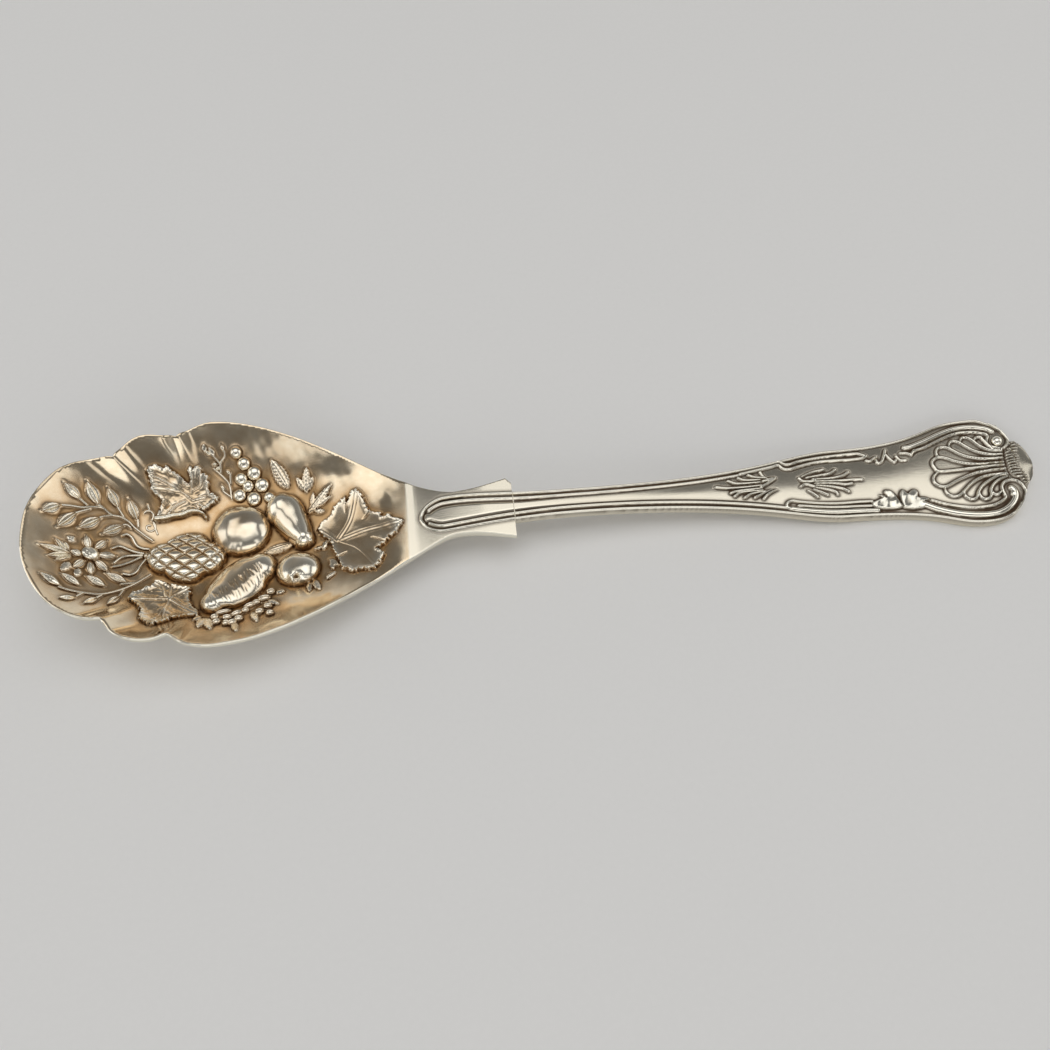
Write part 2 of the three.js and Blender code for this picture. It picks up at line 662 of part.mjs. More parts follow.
// A round wire along a path, of which the upper half stands out of the plate
function wireAlong(path, radius, steps) {
  const section = new THREE.Shape(Array.from({ length: WIRE_SIDES }, (_, i) => {
    const angle = (i + 0.5) * 2 * Math.PI / WIRE_SIDES;
    return new THREE.Vector2(radius * Math.cos(angle), radius * Math.sin(angle));
  }));
  return new THREE.ExtrudeGeometry(section, { steps, extrudePath: path, bevelEnabled: false });
}

// The shell: hollow flutes that fan out from a short base line to rounded lobes
function shellGeometry() {
  const skin = new Skin();
  const ground = groundAt(swellX);
  const perFlute = 4;
  const tips = [...SHELL_LOBES.toReversed().map(([along, across]) => [along, -across]), ...SHELL_LOBES];
  const rays = Array.from({ length: tips.length * perFlute + 1 }, (_, i) => {
    const place = i / perFlute - 0.5;
    const low = THREE.MathUtils.clamp(Math.floor(place), 0, tips.length - 2);
    const share = THREE.MathUtils.clamp(place - low, -0.5, 1.5);
    const valley = 1 - Math.abs(Math.sin(Math.PI * (i / perFlute))) ** 0.7;
    const along = THREE.MathUtils.lerp(tips[low][0], tips[low + 1][0], share);
    const across = THREE.MathUtils.lerp(tips[low][1], tips[low + 1][1], share);
    return { along, across, valley, base: 2 * i / (tips.length * perFlute) - 1 };
  });
  const shares = [0, 0.25, 0.5, 0.75, 0.92, 1];
  const rows = shares.map((share) => rays.map(({ along, across, valley, base }) => {
    const reach = share * (1 - LOBE_NOTCH * valley);
    const x = shellBaseX - SHELL_LENGTH * along * reach;
    const y = SHELL_BASE_HALF_WIDTH * base * (1 - reach) + SHELL_HALF_WIDTH * across * reach;
    const fall = share === 1 ? 0.15 : 1 - 0.35 * share;
    const hollow = FLUTE_DEPTH * Math.sin(Math.PI * Math.min(1, share + 0.1)) * (1 - valley);
    return new THREE.Vector3(x, y, ground + SHELL_HEIGHT * fall - hollow);
  }));
  const floor = rows.map((row) => row.map((p) => new THREE.Vector3(p.x, p.y, ground - 0.5)));
  const top = rows.map((row) => skin.row(row));
  const bottom = floor.map((row) => skin.row(row));
  top.slice(1).forEach((row, i) => skin.join(top[i], row));
  bottom.slice(1).forEach((row, i) => skin.join(row, bottom[i]));
  const border = (grid) => [...grid[0], ...grid.slice(1).map((row) => row.at(-1)),
    ...grid.at(-1).slice(0, -1).reverse(), ...grid.slice(1, -1).map((row) => row[0]).reverse()];
  skin.joinRings(border(bottom), border(top));
  return skin.geometry();
}

// Solids for cutting and joining
function solidFrom(geometry) {
  const bare = geometry.clone();
  bare.deleteAttribute('normal');
  bare.deleteAttribute('uv');
  const merged = mergeVertices(bare, 1e-5);
  return new wasm.Manifold(new wasm.Mesh({
    numProp: 3,
    vertProperties: merged.attributes.position.array,
    triVerts: Uint32Array.from(merged.index.array),
  }));
}

function geometryFrom(solid) {
  const mesh = solid.simplify(FINEST_EDGE).getMesh();
  const geometry = new THREE.BufferGeometry();
  geometry.setAttribute('position', new THREE.BufferAttribute(Float32Array.from(mesh.vertProperties), 3));
  geometry.setIndex(Array.from(mesh.triVerts));
  return geometry;
}

// A block above a sloped lap and a square step, whose lower corner is the lap joint less a given gauge
function lapBlock(gauge, height) {
  const reach = 2 * WING_HALF_WIDTH;
  const frontX = dropX - reach;
  const stepX = shoulderX - SOLDER_GAUGE + gauge;
  const outline = new THREE.Shape([
    new THREE.Vector2(frontX, lapPlane(frontX) - gauge),
    new THREE.Vector2(stepX, lapPlane(stepX) - gauge),
    new THREE.Vector2(stepX, lapPlane(stepX) + height),
    new THREE.Vector2(frontX, lapPlane(frontX) + height),
  ]);
  const block = new THREE.ExtrudeGeometry(outline, { depth: 2 * reach, bevelEnabled: false });
  return block.rotateX(Math.PI / 2).translate(0, reach, 0);
}

// Bowl: the sheet with its shoulder plate, and everything that is raised in it
function bowlSolid() {
  const hollows = FRUIT.map((fruit) => solidFrom(hollowForm(fruit)));
  const raised = [...FRUIT.map(fruitForm), ...LEAVES.map(leafForm), ...grapeForms()].map(solidFrom);
  const room = new THREE.BoxGeometry(BOWL_LENGTH, BOWL_HALF_WIDTH, BOWL_HALF_WIDTH);
  const beyondArch = solidFrom(room.translate(archX + 0.06 + BOWL_LENGTH / 2, 0, 0));
  const arch = solidFrom(archForm()).subtract(beyondArch);
  const sheet = [...raised, arch].reduce((solid, form) => solid.add(form), solidFrom(sheetGeometry()));
  return hollows.reduce((solid, hollow) => solid.subtract(hollow), sheet);
}

// Handle: stem with its lapped tongue, and the terminal with loops, scrolls, pearls and shell
function handleSolids() {
  const blank = solidFrom(handleBlank());
  const height = 3 * PLATE_GAUGE;
  const solderSpace = solidFrom(lapBlock(SOLDER_GAUGE, height));
  const plateSpace = solidFrom(lapBlock(0, 2 * height));
  const ornament = [1, -1].flatMap((side) => {
    const scroll = scrollPath(side);
    const pearl = new THREE.SphereGeometry(PEARL_RADIUS, 12, 8).translate(...scroll.getPoint(1).toArray());
    return [wireAlong(scroll, SCROLL_WIDTH / 2, SCROLL_STEPS), pearl, wireAlong(loopPath(side), THREAD_WIDTH / 2, LOOP_STEPS)];
  });
  const raised = [...ornament, shellGeometry()].map(solidFrom);
  const handle = raised.reduce((solid, form) => solid.add(form), blank.subtract(solderSpace));
  const solder = blank.intersect(solderSpace).subtract(plateSpace);
  return { handle, solder };
}

// Finishes
const gilt = new THREE.MeshStandardMaterial({ name: 'gilt_silver', color: '#c9a873', roughness: 0.22, metalness: 1 });
const silver = new THREE.MeshStandardMaterial({ name: 'silver', color: '#cbc9c2', roughness: 0.24, metalness: 1 });
const seam = new THREE.MeshStandardMaterial({ name: 'hard_solder', color: '#b3afa6', roughness: 0.4, metalness: 1 });

function piece(name, geometry, material) {
  const mesh = new THREE.Mesh(geometry, material);
  mesh.name = name;
  return mesh;
}

const { handle, solder } = handleSolids();
const spoon = new THREE.Group();
spoon.add(
  piece('bowl', geometryFrom(bowlSolid()), gilt),
  piece('handle', geometryFrom(handle), silver),
  piece('solder_seam', geometryFrom(solder), seam),
);

export default spoon;
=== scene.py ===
"""Berry spoon: a gilt bowl chased with fruit, on a threaded silver handle with scrolls and a shell."""
import math

import bpy
import numpy as np
from mathutils import Matrix, Vector
from mathutils.geometry import delaunay_2d_cdt


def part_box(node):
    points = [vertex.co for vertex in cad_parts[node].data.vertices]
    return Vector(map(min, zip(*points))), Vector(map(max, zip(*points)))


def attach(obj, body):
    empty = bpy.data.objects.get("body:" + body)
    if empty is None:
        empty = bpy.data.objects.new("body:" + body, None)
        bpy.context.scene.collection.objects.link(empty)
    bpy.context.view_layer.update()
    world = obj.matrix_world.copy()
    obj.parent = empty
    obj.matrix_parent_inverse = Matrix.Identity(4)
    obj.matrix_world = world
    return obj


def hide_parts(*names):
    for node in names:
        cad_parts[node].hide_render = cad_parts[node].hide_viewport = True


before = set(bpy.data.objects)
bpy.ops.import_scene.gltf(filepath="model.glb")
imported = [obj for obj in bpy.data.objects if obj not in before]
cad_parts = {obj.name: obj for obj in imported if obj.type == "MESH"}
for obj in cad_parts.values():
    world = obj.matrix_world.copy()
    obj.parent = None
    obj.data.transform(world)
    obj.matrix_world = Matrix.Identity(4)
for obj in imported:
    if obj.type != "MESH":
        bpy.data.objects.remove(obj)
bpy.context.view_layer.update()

bl_info = {
    "name": "Berry Spoon",
    "version": (1, 0, 0),
    "blender": (4, 5, 0),
    "location": "View3D > Sidebar > Spoon",
    "description": "Builds a chased and gilt berry spoon and its studio stage",
    "category": "Add Mesh",
}

BOWL_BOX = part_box("bowl")
HANDLE_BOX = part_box("handle")
MM = 0.001
MASKS = ("recess", "worn", "gilt", "shade")
SHARP_FROM = math.radians(65)

# Radii of the edges, and the clipped corner of the far wing, in millimetres
RIM_RADIUS = 0.32
PLATE_EDGE_RADIUS = 0.2
BUTT_RADIUS = 0.03
WING_CORNER = 1.1
# Distances between the points of the bowl, in millimetres
OUTLINE_SPACING = 0.24
WORKED_SPACING = 0.195
PLAIN_SPACING = 0.42
PLATE_SPACING = 0.15
BACK_SPACING = 0.8
# Handle: points across its middle and down each side, distances between its sections, where the close ones
# start, and the length of its nose
MIDDLE_COUNT = 112
SIDE_COUNT = 9
STEM_SPACING = 0.3
TERMINAL_SPACING = 0.15
TERMINAL_DETAIL_START = 37.0
NOSE_LENGTH = 1.2
# Where the inner threads end, on the far side (1) and the near one (-1), and the grooves of the outer threads
INNER_THREAD_ENDS = [(1, 41.3), (-1, 51.3)]
OUTER_GROOVE_END = 44

# The ornament is placed by pixels of the photograph, 1050 x 1050, and PhotoView lays them on the spoon
PIXELS_PER_MM = 4.6

# Fruit: the line through its middle, with the radius there in millimetres, and its height
FRUIT = {
    "peach": {"spine": [(237, 530, 5.6), (240.5, 530, 5.7), (244, 530, 5.6)], "height": 3.5},
    "pear": {
        "spine": [(281, 509, 3.6), (286, 512, 3.9), (292, 521, 3.5), (299, 532, 2.9), (303, 538, 2.4)],
        "height": 3.1},
    "apple": {"spine": [(294.5, 568, 4.1), (297.5, 568, 4.2), (300.5, 568, 4.1)], "height": 3.0},
    "melon": {
        "spine": [(214, 601, 3.0), (222, 595, 4.5), (237, 584, 5.3), (251, 573, 4.9), (260, 567, 3.6)],
        "height": 2.8},
    "pineapple": {
        "spine": [(165, 558, 3.6), (175, 558, 5.3), (187, 557.5, 5.9), (199, 557, 5.6), (208, 557, 3.8)],
        "height": 2.6},
}
# Place, radius and height of each knob at the thin end of the pear
PEAR_KNOBS = [((303, 542), 0.75, 2.1), ((311, 541), 0.6, 1.8)]
APPLE_EYE = (296.7, 580)
MELON_STROKES = [(210.5, 597), (260, 563.4)]
MELON_STROKE_COUNT = 17
PINEAPPLE_KNOB = (148.4, 556)
# Along the pineapple and across it: how far its net reaches, its radius and its pitch, in millimetres
PINEAPPLE_NET = [(9.5, 8.8, 3.4), (6.6, 6.1, 2.6)]

# Vine leaves: outline, veins, height of the leaf, depth of its folds and side veins, strength of its veins
VINE_LEAVES = [
    {"outline": [
        (145.5, 467.5), (150, 465.5), (155.5, 464), (158.5, 465), (162.5, 468), (166, 465), (169.5, 467),
        (173, 470.5), (178, 474), (183, 478), (188, 484), (189.5, 480), (187, 470), (190, 464.5),
        (192.5, 469), (196, 466), (199.5, 464.5), (201.5, 470), (202, 474), (205, 473), (208.5, 476),
        (209, 483), (209.5, 490), (211, 493), (215, 494), (219, 498), (217, 502), (212, 505), (208, 508),
        (205, 510), (197, 512), (189, 512), (182, 515), (173, 516), (165, 518), (155.5, 519), (159, 510),
        (161, 501), (158, 497), (154, 494), (150, 490), (150.5, 484.5), (148, 477), (146, 470)],
     "veins": [
        [(192.5, 500.5), (185, 494), (175, 487.5), (165, 481), (152, 475)],
        [(191.5, 493), (191.5, 480), (191, 472)], [(192.5, 490), (200, 485), (201, 476)],
        [(181, 491), (168, 489), (154, 487)], [(185, 501.5), (179, 504), (172, 509), (166, 516)],
        [(199, 504), (207, 508)], [(192.5, 500.5), (205, 497)]],
     "height": 0.75, "folds": 0.3, "twigs": 0.07, "vein": 1.0},
    {"outline": [
        (127.4, 598.2), (132.6, 591.8), (141, 589.7), (145.3, 586.6), (152.6, 585), (153.7, 580.8),
        (160, 579.7), (166.3, 582.4), (170.5, 585.5), (172.6, 583.4), (179, 585.5), (185.3, 586.6),
        (191.6, 586), (189.5, 590.8), (192.6, 592.4), (189.5, 595), (190.5, 600.3), (192.6, 605.5),
        (200, 612.4), (199, 616), (192.6, 615.5), (185.3, 616), (179, 617), (170.5, 618), (166.3, 620.3),
        (160, 622.4), (153.7, 623.4), (148.4, 624.5), (141, 620.3), (138, 616), (140, 609.7),
        (136.8, 604.5), (131.6, 601.8)],
     "veins": [
        [(169.5, 598.7), (148, 598), (127.4, 598.2)],
        [(169.5, 598.7), (165, 594), (162, 586.6), (153.7, 581.3)], [(169.5, 598.7), (170.5, 586.6)],
        [(169.5, 598.7), (175.8, 594), (188, 588)], [(169.5, 598.7), (185.3, 607.6), (199, 614)],
        [(169.5, 598.7), (164, 607.6), (154.7, 618)], [(169.5, 598.7), (163, 614), (165, 619)]],
     "height": 0.8, "folds": 0.3, "twigs": 0.08, "vein": 1.0},
    {"outline": [
        (317, 530), (319.4, 525.6), (320.6, 522), (327, 518), (330.6, 514.4), (332.8, 508), (339.4, 501),
        (345, 495.6), (347, 502), (350.6, 491), (355.6, 488), (360, 492), (362.8, 496.7), (366, 503),
        (369, 510), (377, 511.7), (380.6, 512), (381.7, 516.7), (390, 513.3), (392, 516.7), (400.6, 518.3),
        (404, 521), (399.4, 526.7), (397, 532), (388, 538), (387, 541), (377, 548), (385, 552),
        (380.6, 561), (375, 568), (366, 569), (359.4, 569), (352.8, 572), (349.4, 569), (342.8, 569),
        (339.4, 563), (337, 556.7), (332.8, 550), (330, 541), (321.7, 536.7)],
     "veins": [
        [(337, 541), (350, 520), (355.6, 492)], [(337, 541), (365, 530), (398, 521)],
        [(340, 541), (358, 548), (374, 564)], [(337, 541), (329, 535), (320, 530)]],
     "height": 0.6, "folds": 0.08, "twigs": 0.0, "vein": 0.45},
]
LEAF_CREASES = [
    [(370, 511), (363, 519)], [(387, 541), (372, 537)], [(346, 501), (346, 512)], [(337, 557), (347, 552)],
]
LEAF_FOLD = [
    (155.5, 518), (165, 517), (173, 515), (182, 514), (189, 511), (197, 510.5), (203, 513), (206, 517),
]
LEAF_HOLE = (166, 505)

# Smaller leaves on the sheet: base, tip, greatest width in pixels
SMALL_LEAVES = [
    ((288, 488), (270.5, 459), 14), ((306, 492), (306, 466), 9), ((306, 490), (313, 476), 7),
    ((305, 490), (296, 476.7), 7), ((308, 513), (330.6, 484), 9), ((312, 508), (331, 495), 6),
    ((312, 506), (313, 491), 6), ((314, 511), (325, 510), 5), ((264, 553), (297, 542), 11),
    ((323, 549), (327, 539), 6), ((315, 549), (322, 546), 4), ((329, 559), (339, 565), 6),
    ((330, 562), (334, 569), 5), ((313, 579), (320, 589), 7), ((309, 581), (309, 591), 6),
    ((326, 577), (336, 571), 5), ((74, 541), (67, 535), 7), ((70, 562), (60, 570), 7),
    ((79, 568), (75, 576), 6), ((204, 618), (197, 627), 9), ((206, 618), (210, 629), 9),
    ((233, 622), (236, 631), 7), ((252, 612), (257, 621), 7), ((201, 616), (192, 620), 7),
    ((214, 455), (208, 447), 5), ((205, 452), (203, 443), 5), ((268, 600), (279, 603), 6),
    ((276, 592), (285, 590), 6),
]

# Sprays of leaves: radius of the stems in millimetres, their paths, and the leaves as base, tip and width
STEM_RADIUS = 0.24
SPRAY_STEMS = [
    [(153, 541), (146, 536.5), (135, 528), (129, 522), (120.5, 517), (113, 515.5), (108, 512.5),
     (102.5, 508), (93, 507), (82.5, 507.5), (72, 506), (61.5, 505)],
    [(87, 505), (79.5, 498.5)], [(102.5, 507), (98.5, 505)], [(124, 517.5), (117.5, 507)],
    [(138.5, 527), (138, 520)], [(90, 509), (80.5, 511.5), (75.5, 513)],
    [(113, 515.5), (103.5, 516.5), (99.5, 518)], [(131, 528), (127, 525), (123, 525)],
    [(151, 574.5), (143.7, 579), (133, 585), (121.6, 589.7), (110, 593), (99.5, 594.5), (86.8, 593.4),
     (74, 591.3), (64.7, 589), (58.4, 586.6)],
    [(101.6, 595.5), (95.3, 598.7)], [(123.7, 590.3), (117.4, 598.7)], [(120.5, 584.5), (135, 583)],
    [(83, 593), (76, 597)], [(232, 499), (229.5, 485), (222, 476), (214, 469)], [(231, 484), (230.5, 473)],
    [(221, 473), (221, 463), (225, 456), (223.5, 450)], [(210, 453), (217, 460), (220, 464)],
    [(231, 497), (224, 492), (221.5, 487)], [(327, 579), (335, 572)], [(323, 547), (315, 549)],
]
SPRAY_LEAVES = [
    ((80, 498.5), (63, 481.5), 11), ((98, 504), (86, 480), 13), ((118, 507), (107, 486.5), 11),
    ((137, 520), (128, 498), 11), ((60, 504.5), (40.5, 510), 12), ((76, 512), (56, 526), 12),
    ((100, 517.5), (77.5, 527), 12), ((123, 525), (101, 533.5), 11), ((59.5, 585), (38.4, 571.8), 9),
    ((79.5, 585), (60, 572.4), 8), ((104.7, 586), (84.7, 575), 9), ((126.3, 582), (104.2, 572.4), 9),
    ((75, 598), (58, 597), 6), ((98, 598), (82, 603), 6.5), ((120, 596), (106, 604), 7),
]
FAN_LEAF = [
    ((70, 552.4), (36.8, 543), 7), ((66, 551), (54, 537.6), 6), ((68, 550), (62.6, 541), 5),
    ((68, 553.5), (45.8, 554.5), 6), ((69, 554), (54, 559.7), 6), ((70, 554), (65.8, 558.7), 4),
]
BUDS = [
    ((221, 466), (215, 470), 5), ((217, 463), (211.5, 464.5), 5), ((230.5, 474), (226, 469.5), 5),
    ((224, 491), (221.5, 484), 5), ((223.5, 451), (221, 444), 5), ((211, 455), (205, 450), 5),
]
CROWN_LEAVES = [
    [(149, 549), (141.6, 548), (136.3, 545), (132, 537.6), (126.8, 534), (122, 535.5)],
    [(143.7, 553.4), (135.3, 551.8), (127.9, 549.2), (119.5, 546), (111.6, 548.2)],
    [(142.6, 555), (129, 555.5), (120.5, 557.6), (113.2, 563)],
    [(141.6, 556.6), (130, 561.8), (120.5, 565), (112, 566.6)],
    [(145.8, 559), (140.5, 565), (136.3, 571.3), (130, 574.5), (122.6, 573.4)],
]
# The coil has a point at every turn of 0.45 radians, and each point lies further in by a share of the radius
TENDRIL_COIL = {
    "centre": (150, 527.6), "radius": 1.25, "tail": (157.9, 535), "points": 15, "turn": 0.45,
    "shrink": 0.055,
}
TENDRIL_CURLS = [
    [(152, 521), (153.7, 515.5), (151, 511.8), (146.8, 511.3), (144.2, 513.4)],
    [(149.5, 510.3), (147.9, 505)],
]
FLOWER_EYE = (90.5, 553)
PETALS = [
    ((88, 549), (85.5, 534.5), 8.5), ((94.5, 548.5), (106.5, 540), 8.5), ((97, 554.5), (116, 555.5), 8.5),
    ((94.5, 559.5), (107.5, 571), 9), ((89.5, 561), (90.5, 574.5), 8.5), ((84, 559.5), (72.5, 567), 8.5),
    ((81.5, 554.5), (69.5, 550), 8),
]

# Round fruit as centre and radius; oval berries as centre, length and width
GRAPES = [
    (235, 451, 6), (243, 462, 6.5), (253.5, 471.5, 7), (240.5, 477.5, 6.5), (247.5, 484.5, 6),
    (261.5, 483.5, 7.2), (239, 494, 6.7), (253.5, 497.5, 7.2), (269, 496, 5.8),
]
BERRIES = [
    (222.6, 612, 16, 5), (236.3, 613, 11.5, 6), (214, 616.6, 8, 7), (226.3, 617, 9.5, 6), (238, 618, 9, 7),
    (215.8, 621.3, 8, 7), (225.3, 622.4, 7, 7), (231.6, 621.8, 9, 7), (249.5, 605, 12.6, 6),
    (263.7, 597.6, 13, 7), (259, 611, 9, 7), (267.4, 605.5, 9, 6), (269.5, 612.4, 8, 6), (270.5, 591, 9, 7),
    (245, 610, 8, 6), (256, 602, 8, 6),
]

# Raised lines of the handle: width and height in millimetres, how far they taper, and their paths
STRUCK_LINES = [
    (0.66, 0.44, 0.0, [
        [(740, 474), (770, 467), (778, 465), (783, 468.5), (790, 469), (800, 466), (820, 461.5),
         (850, 459.5), (862, 458), (866, 456)],
        [(778, 461), (784, 464), (790, 464), (800, 461), (820, 457.5), (840, 455), (856, 453.5),
         (861, 454.5), (866, 456)],
        [(872, 501), (860, 501.5), (840, 503), (820, 503), (800, 501.5), (793, 500.5), (788.5, 502),
         (787, 505), (790, 508.5), (800, 510), (830, 512)],
        [(799, 505.5), (830, 507), (860, 506), (872, 505.5)]]),
    (1.1, 0.5, 0.0, [[(793, 508.5), (800, 509.5), (830, 511.5), (860, 510.5), (878, 510)]]),
    (0.64, 0.44, 0.45, [
        [(748, 475), (755, 477), (765, 477.5)], [(738, 478), (745, 480), (760, 479.5)],
        [(728, 481), (738, 483.5), (760, 482)], [(716, 487), (728, 488), (745, 487), (762, 485)],
        [(731, 493), (740, 490.5), (762, 488)], [(735, 496), (742, 492), (763, 490)],
        [(745, 497.5), (752, 493.5), (766, 491)], [(755, 497.5), (762, 494), (772, 489)],
        [(764, 498.5), (768, 494), (777, 489)], [(760, 472), (763, 476), (768, 479)],
        [(823, 469.5), (812, 472), (802, 476)], [(835, 469.5), (830, 473), (820, 475), (806, 477.5)],
        [(848, 472), (842, 475.5), (830, 478), (812, 479)],
        [(862, 479), (850, 479.5), (835, 480.5), (814, 481)],
        [(852, 483), (846, 484), (835, 483), (815, 483)], [(849, 491), (842, 488), (830, 486), (816, 485)],
        [(838, 494), (836, 491.5), (828, 489), (816, 487)], [(828, 494.5), (822, 492), (814, 489)],
        [(818, 496.5), (813, 493), (808, 490)]]),
    (0.6, 0.44, 0.0, [
        [(761, 487), (766, 484), (771, 481), (775, 478)], [(763, 481), (768, 480), (772, 478)],
        [(799, 478), (803, 481), (812, 481), (815, 480)], [(801, 486), (806, 484), (814, 486)]]),
    (0.62, 0.52, -0.4, [
        [(1004, 461.5), (985, 463.5), (970, 463.5), (955, 461), (946, 458), (939, 457), (934, 459),
         (932, 463), (935, 468), (939, 471), (955, 470), (975, 467.5), (1005, 464)],
        [(1004, 457), (985, 458.5), (970, 457), (960, 454), (950, 449), (944, 447), (938, 448), (936, 452),
         (938, 456), (942, 457)],
        [(1003, 453.5), (990, 454), (975, 451), (965, 446), (958, 442), (952, 441), (949, 444), (950, 448)],
        [(1002, 450.5), (990, 450), (980, 446), (973, 441), (968, 438), (962, 437.5), (960, 441)],
        [(1000, 448), (990, 446), (984, 441), (980, 437), (975, 438), (974, 441)],
        [(1006, 468), (990, 470), (975, 473), (960, 479), (950, 484.5), (945, 486.5), (938, 485),
         (934, 481), (934, 476), (939, 471)],
        [(1007, 472.5), (985, 476), (973, 482), (966, 489), (961, 494), (956, 496), (950, 495), (946, 491),
         (945, 487)],
        [(1008, 474), (1000, 475), (992, 478.5), (983, 485), (979, 491), (977, 497), (972, 499), (966, 496),
         (964, 490)],
        [(979, 490), (980, 494.5), (984, 498.5), (989, 498), (991.5, 495), (991, 490), (992.5, 486),
         (995.5, 482), (1000, 478.8), (1007, 476)],
        [(991.5, 490), (994, 493.5), (998, 494), (1001.5, 491)]]),
    (1.1, 0.55, 0.0, [
        [(904, 447.5), (910, 446.5), (925, 440.5), (940, 433.5), (955, 428.5), (970, 427), (985, 428.5),
         (992, 431.5)]]),
    (0.62, 0.5, 0.0, [
        [(911, 455), (914, 451), (925, 447), (940, 439.5), (955, 433.5), (970, 432), (980, 433), (987, 435),
         (986.5, 441), (988, 445), (992, 448.5), (998, 449.8), (1003, 448), (1006.5, 444.5),
         (1007.5, 440.5), (1006, 437), (1003, 433.5), (999, 430), (994, 427), (988, 424)],
        [(932, 500), (945, 503.5), (960, 506), (975, 507), (990, 505.5), (998, 503), (1003, 500),
         (1006, 497), (1005, 494), (1003, 490), (1002, 486), (1004, 482), (1008, 480), (1013, 479.5),
         (1018, 481), (1022, 484), (1025, 488), (1026, 492), (1025, 498), (1023, 503), (1020, 508),
         (1015, 512.5)]]),
    (1.35, 0.62, 0.0, [
        [(925, 504), (940, 509), (960, 513), (980, 514.3), (995, 513), (1003, 510.5), (1010, 506),
         (1014.5, 500), (1016, 495), (1014.5, 490), (1011.5, 487.5)]]),
    (0.44, 0.34, 0.5, [
        [(1011.3, 442), (1015, 441), (1018, 441)], [(1010.3, 445), (1014, 444), (1019, 443)],
        [(1008.3, 448.5), (1012, 447.5), (1017, 447)], [(1006.3, 452), (1010, 450.5), (1017, 450)],
        [(1006.3, 455), (1010, 454), (1016, 453)], [(1006.3, 458), (1010, 456.5), (1018, 455.5)],
        [(1007.3, 460.5), (1012, 459), (1018, 458)], [(1008.3, 463), (1012, 461.5), (1018, 460.5)],
        [(1009.3, 465.5), (1013, 464.5), (1019, 464)], [(1010.3, 468), (1014, 466.7), (1020, 467)],
        [(1011.3, 471), (1015, 470), (1022, 469.5)], [(1013.3, 473.5), (1016, 472.6), (1024, 472)],
        [(1017.3, 475.8), (1022, 475.3), (1027, 475)], [(1023.3, 478.2), (1025, 478.4), (1028, 478)],
        [(1024, 481.3), (1028, 481.3)]]),
    (0.6, 0.45, 0.0, [
        [(866, 460.5), (870, 461), (874, 458), (876, 457)],
        [(876, 460), (878, 463), (882, 461), (884, 455), (885, 450)],
        [(886, 455), (890, 459), (894, 462), (896, 460)], [(896, 456), (900, 460), (906, 460)],
        [(900, 453), (906, 453), (911, 454), (914, 450)]]),
]
STRUCK_LEAVES = [
    [(872, 502), (879, 499), (882, 497), (879, 494), (883, 495), (887, 497), (884, 492), (885, 490),
     (889, 490), (894, 493), (899, 500), (903, 507), (890, 509), (876, 508), (872, 504)],
    [(903, 506), (900, 497), (900, 492), (903, 489), (906, 492), (908, 493), (911, 490), (915, 489),
     (918, 492), (918, 496), (921, 497), (926, 497), (930, 499), (924, 502), (926, 507), (915, 509),
     (904, 508)],
]
SHELL_GROOVE = [
    (1003.5, 449), (1003.8, 455), (1005, 461), (1007, 467.5), (1009.5, 473), (1014, 476.8), (1020, 478.5),
]
# Place, radius and height of the knob in the near scroll; place and radius of the pearl in the far one
SCROLL_EYE = ((1015, 493), 0.9, 0.62)
SCROLL_PEARL = ((996.8, 440.8), 1.25)


def length(name, description, default):
    """A length that a user can change, in metres."""
    return bpy.props.FloatProperty(name=name, description=description, default=default, min=0.0, precision=5,
                                   unit="LENGTH", subtype="DISTANCE")


def colour(name, description, default):
    """A surface colour that a user can change."""
    return bpy.props.FloatVectorProperty(name=name, description=description, default=default, size=3,
                                         subtype="COLOR", min=0.0, max=1.0)


class SpoonSizes(bpy.types.PropertyGroup):
    """Sizes of the spoon, which follow the solid parts in the frame."""
    bowl_length: length("Bowl length", "From the tip of the bowl to its neck", 0.075)
    bowl_half_width: length("Bowl half width", "Half of the greatest width of the bowl", BOWL_BOX[1][1])
    widest_from_tip: length("Widest from tip", "Distance of the widest point from the tip of the bowl", 0.036)
    tip_rim_height: length("Tip rim height", "Height of the rim at the tip of the bowl", 0.019)
    lobe_rim_height: length("Lobe rim height", "Height of the rim at the first notch", 0.015)
    neck_height: length("Neck height", "Height of the rim at the neck", 0.0064)
    sheet_gauge: length("Sheet gauge", "Thickness of the bowl sheet", 0.0012)
    wing_half_width: length("Wing half width", "Half width over the square wings of the shoulder", 0.0072)
    plate_gauge: length("Plate gauge", "Thickness of the shoulder plate", 0.00155)
    stem_half_width: length("Stem half width", "Half of the least width of the stem", 0.003)
    fiddle_half_width: length("Fiddle half width", "Half width where the terminal starts", 0.0084)
    swell_half_width: length("Swell half width", "Half the greatest width of the terminal", HANDLE_BOX[1][1])
    terminal_thickness: length("Terminal thickness", "Thickness of the terminal", 0.0022)
    thread_width: length("Thread width", "Width of a raised thread along the edge", 0.00066)
    thread_height: length("Thread height", "Height of a raised thread", 0.00032)
    thread_pitch: length("Thread pitch", "Distance from one thread to the next", 0.0012)


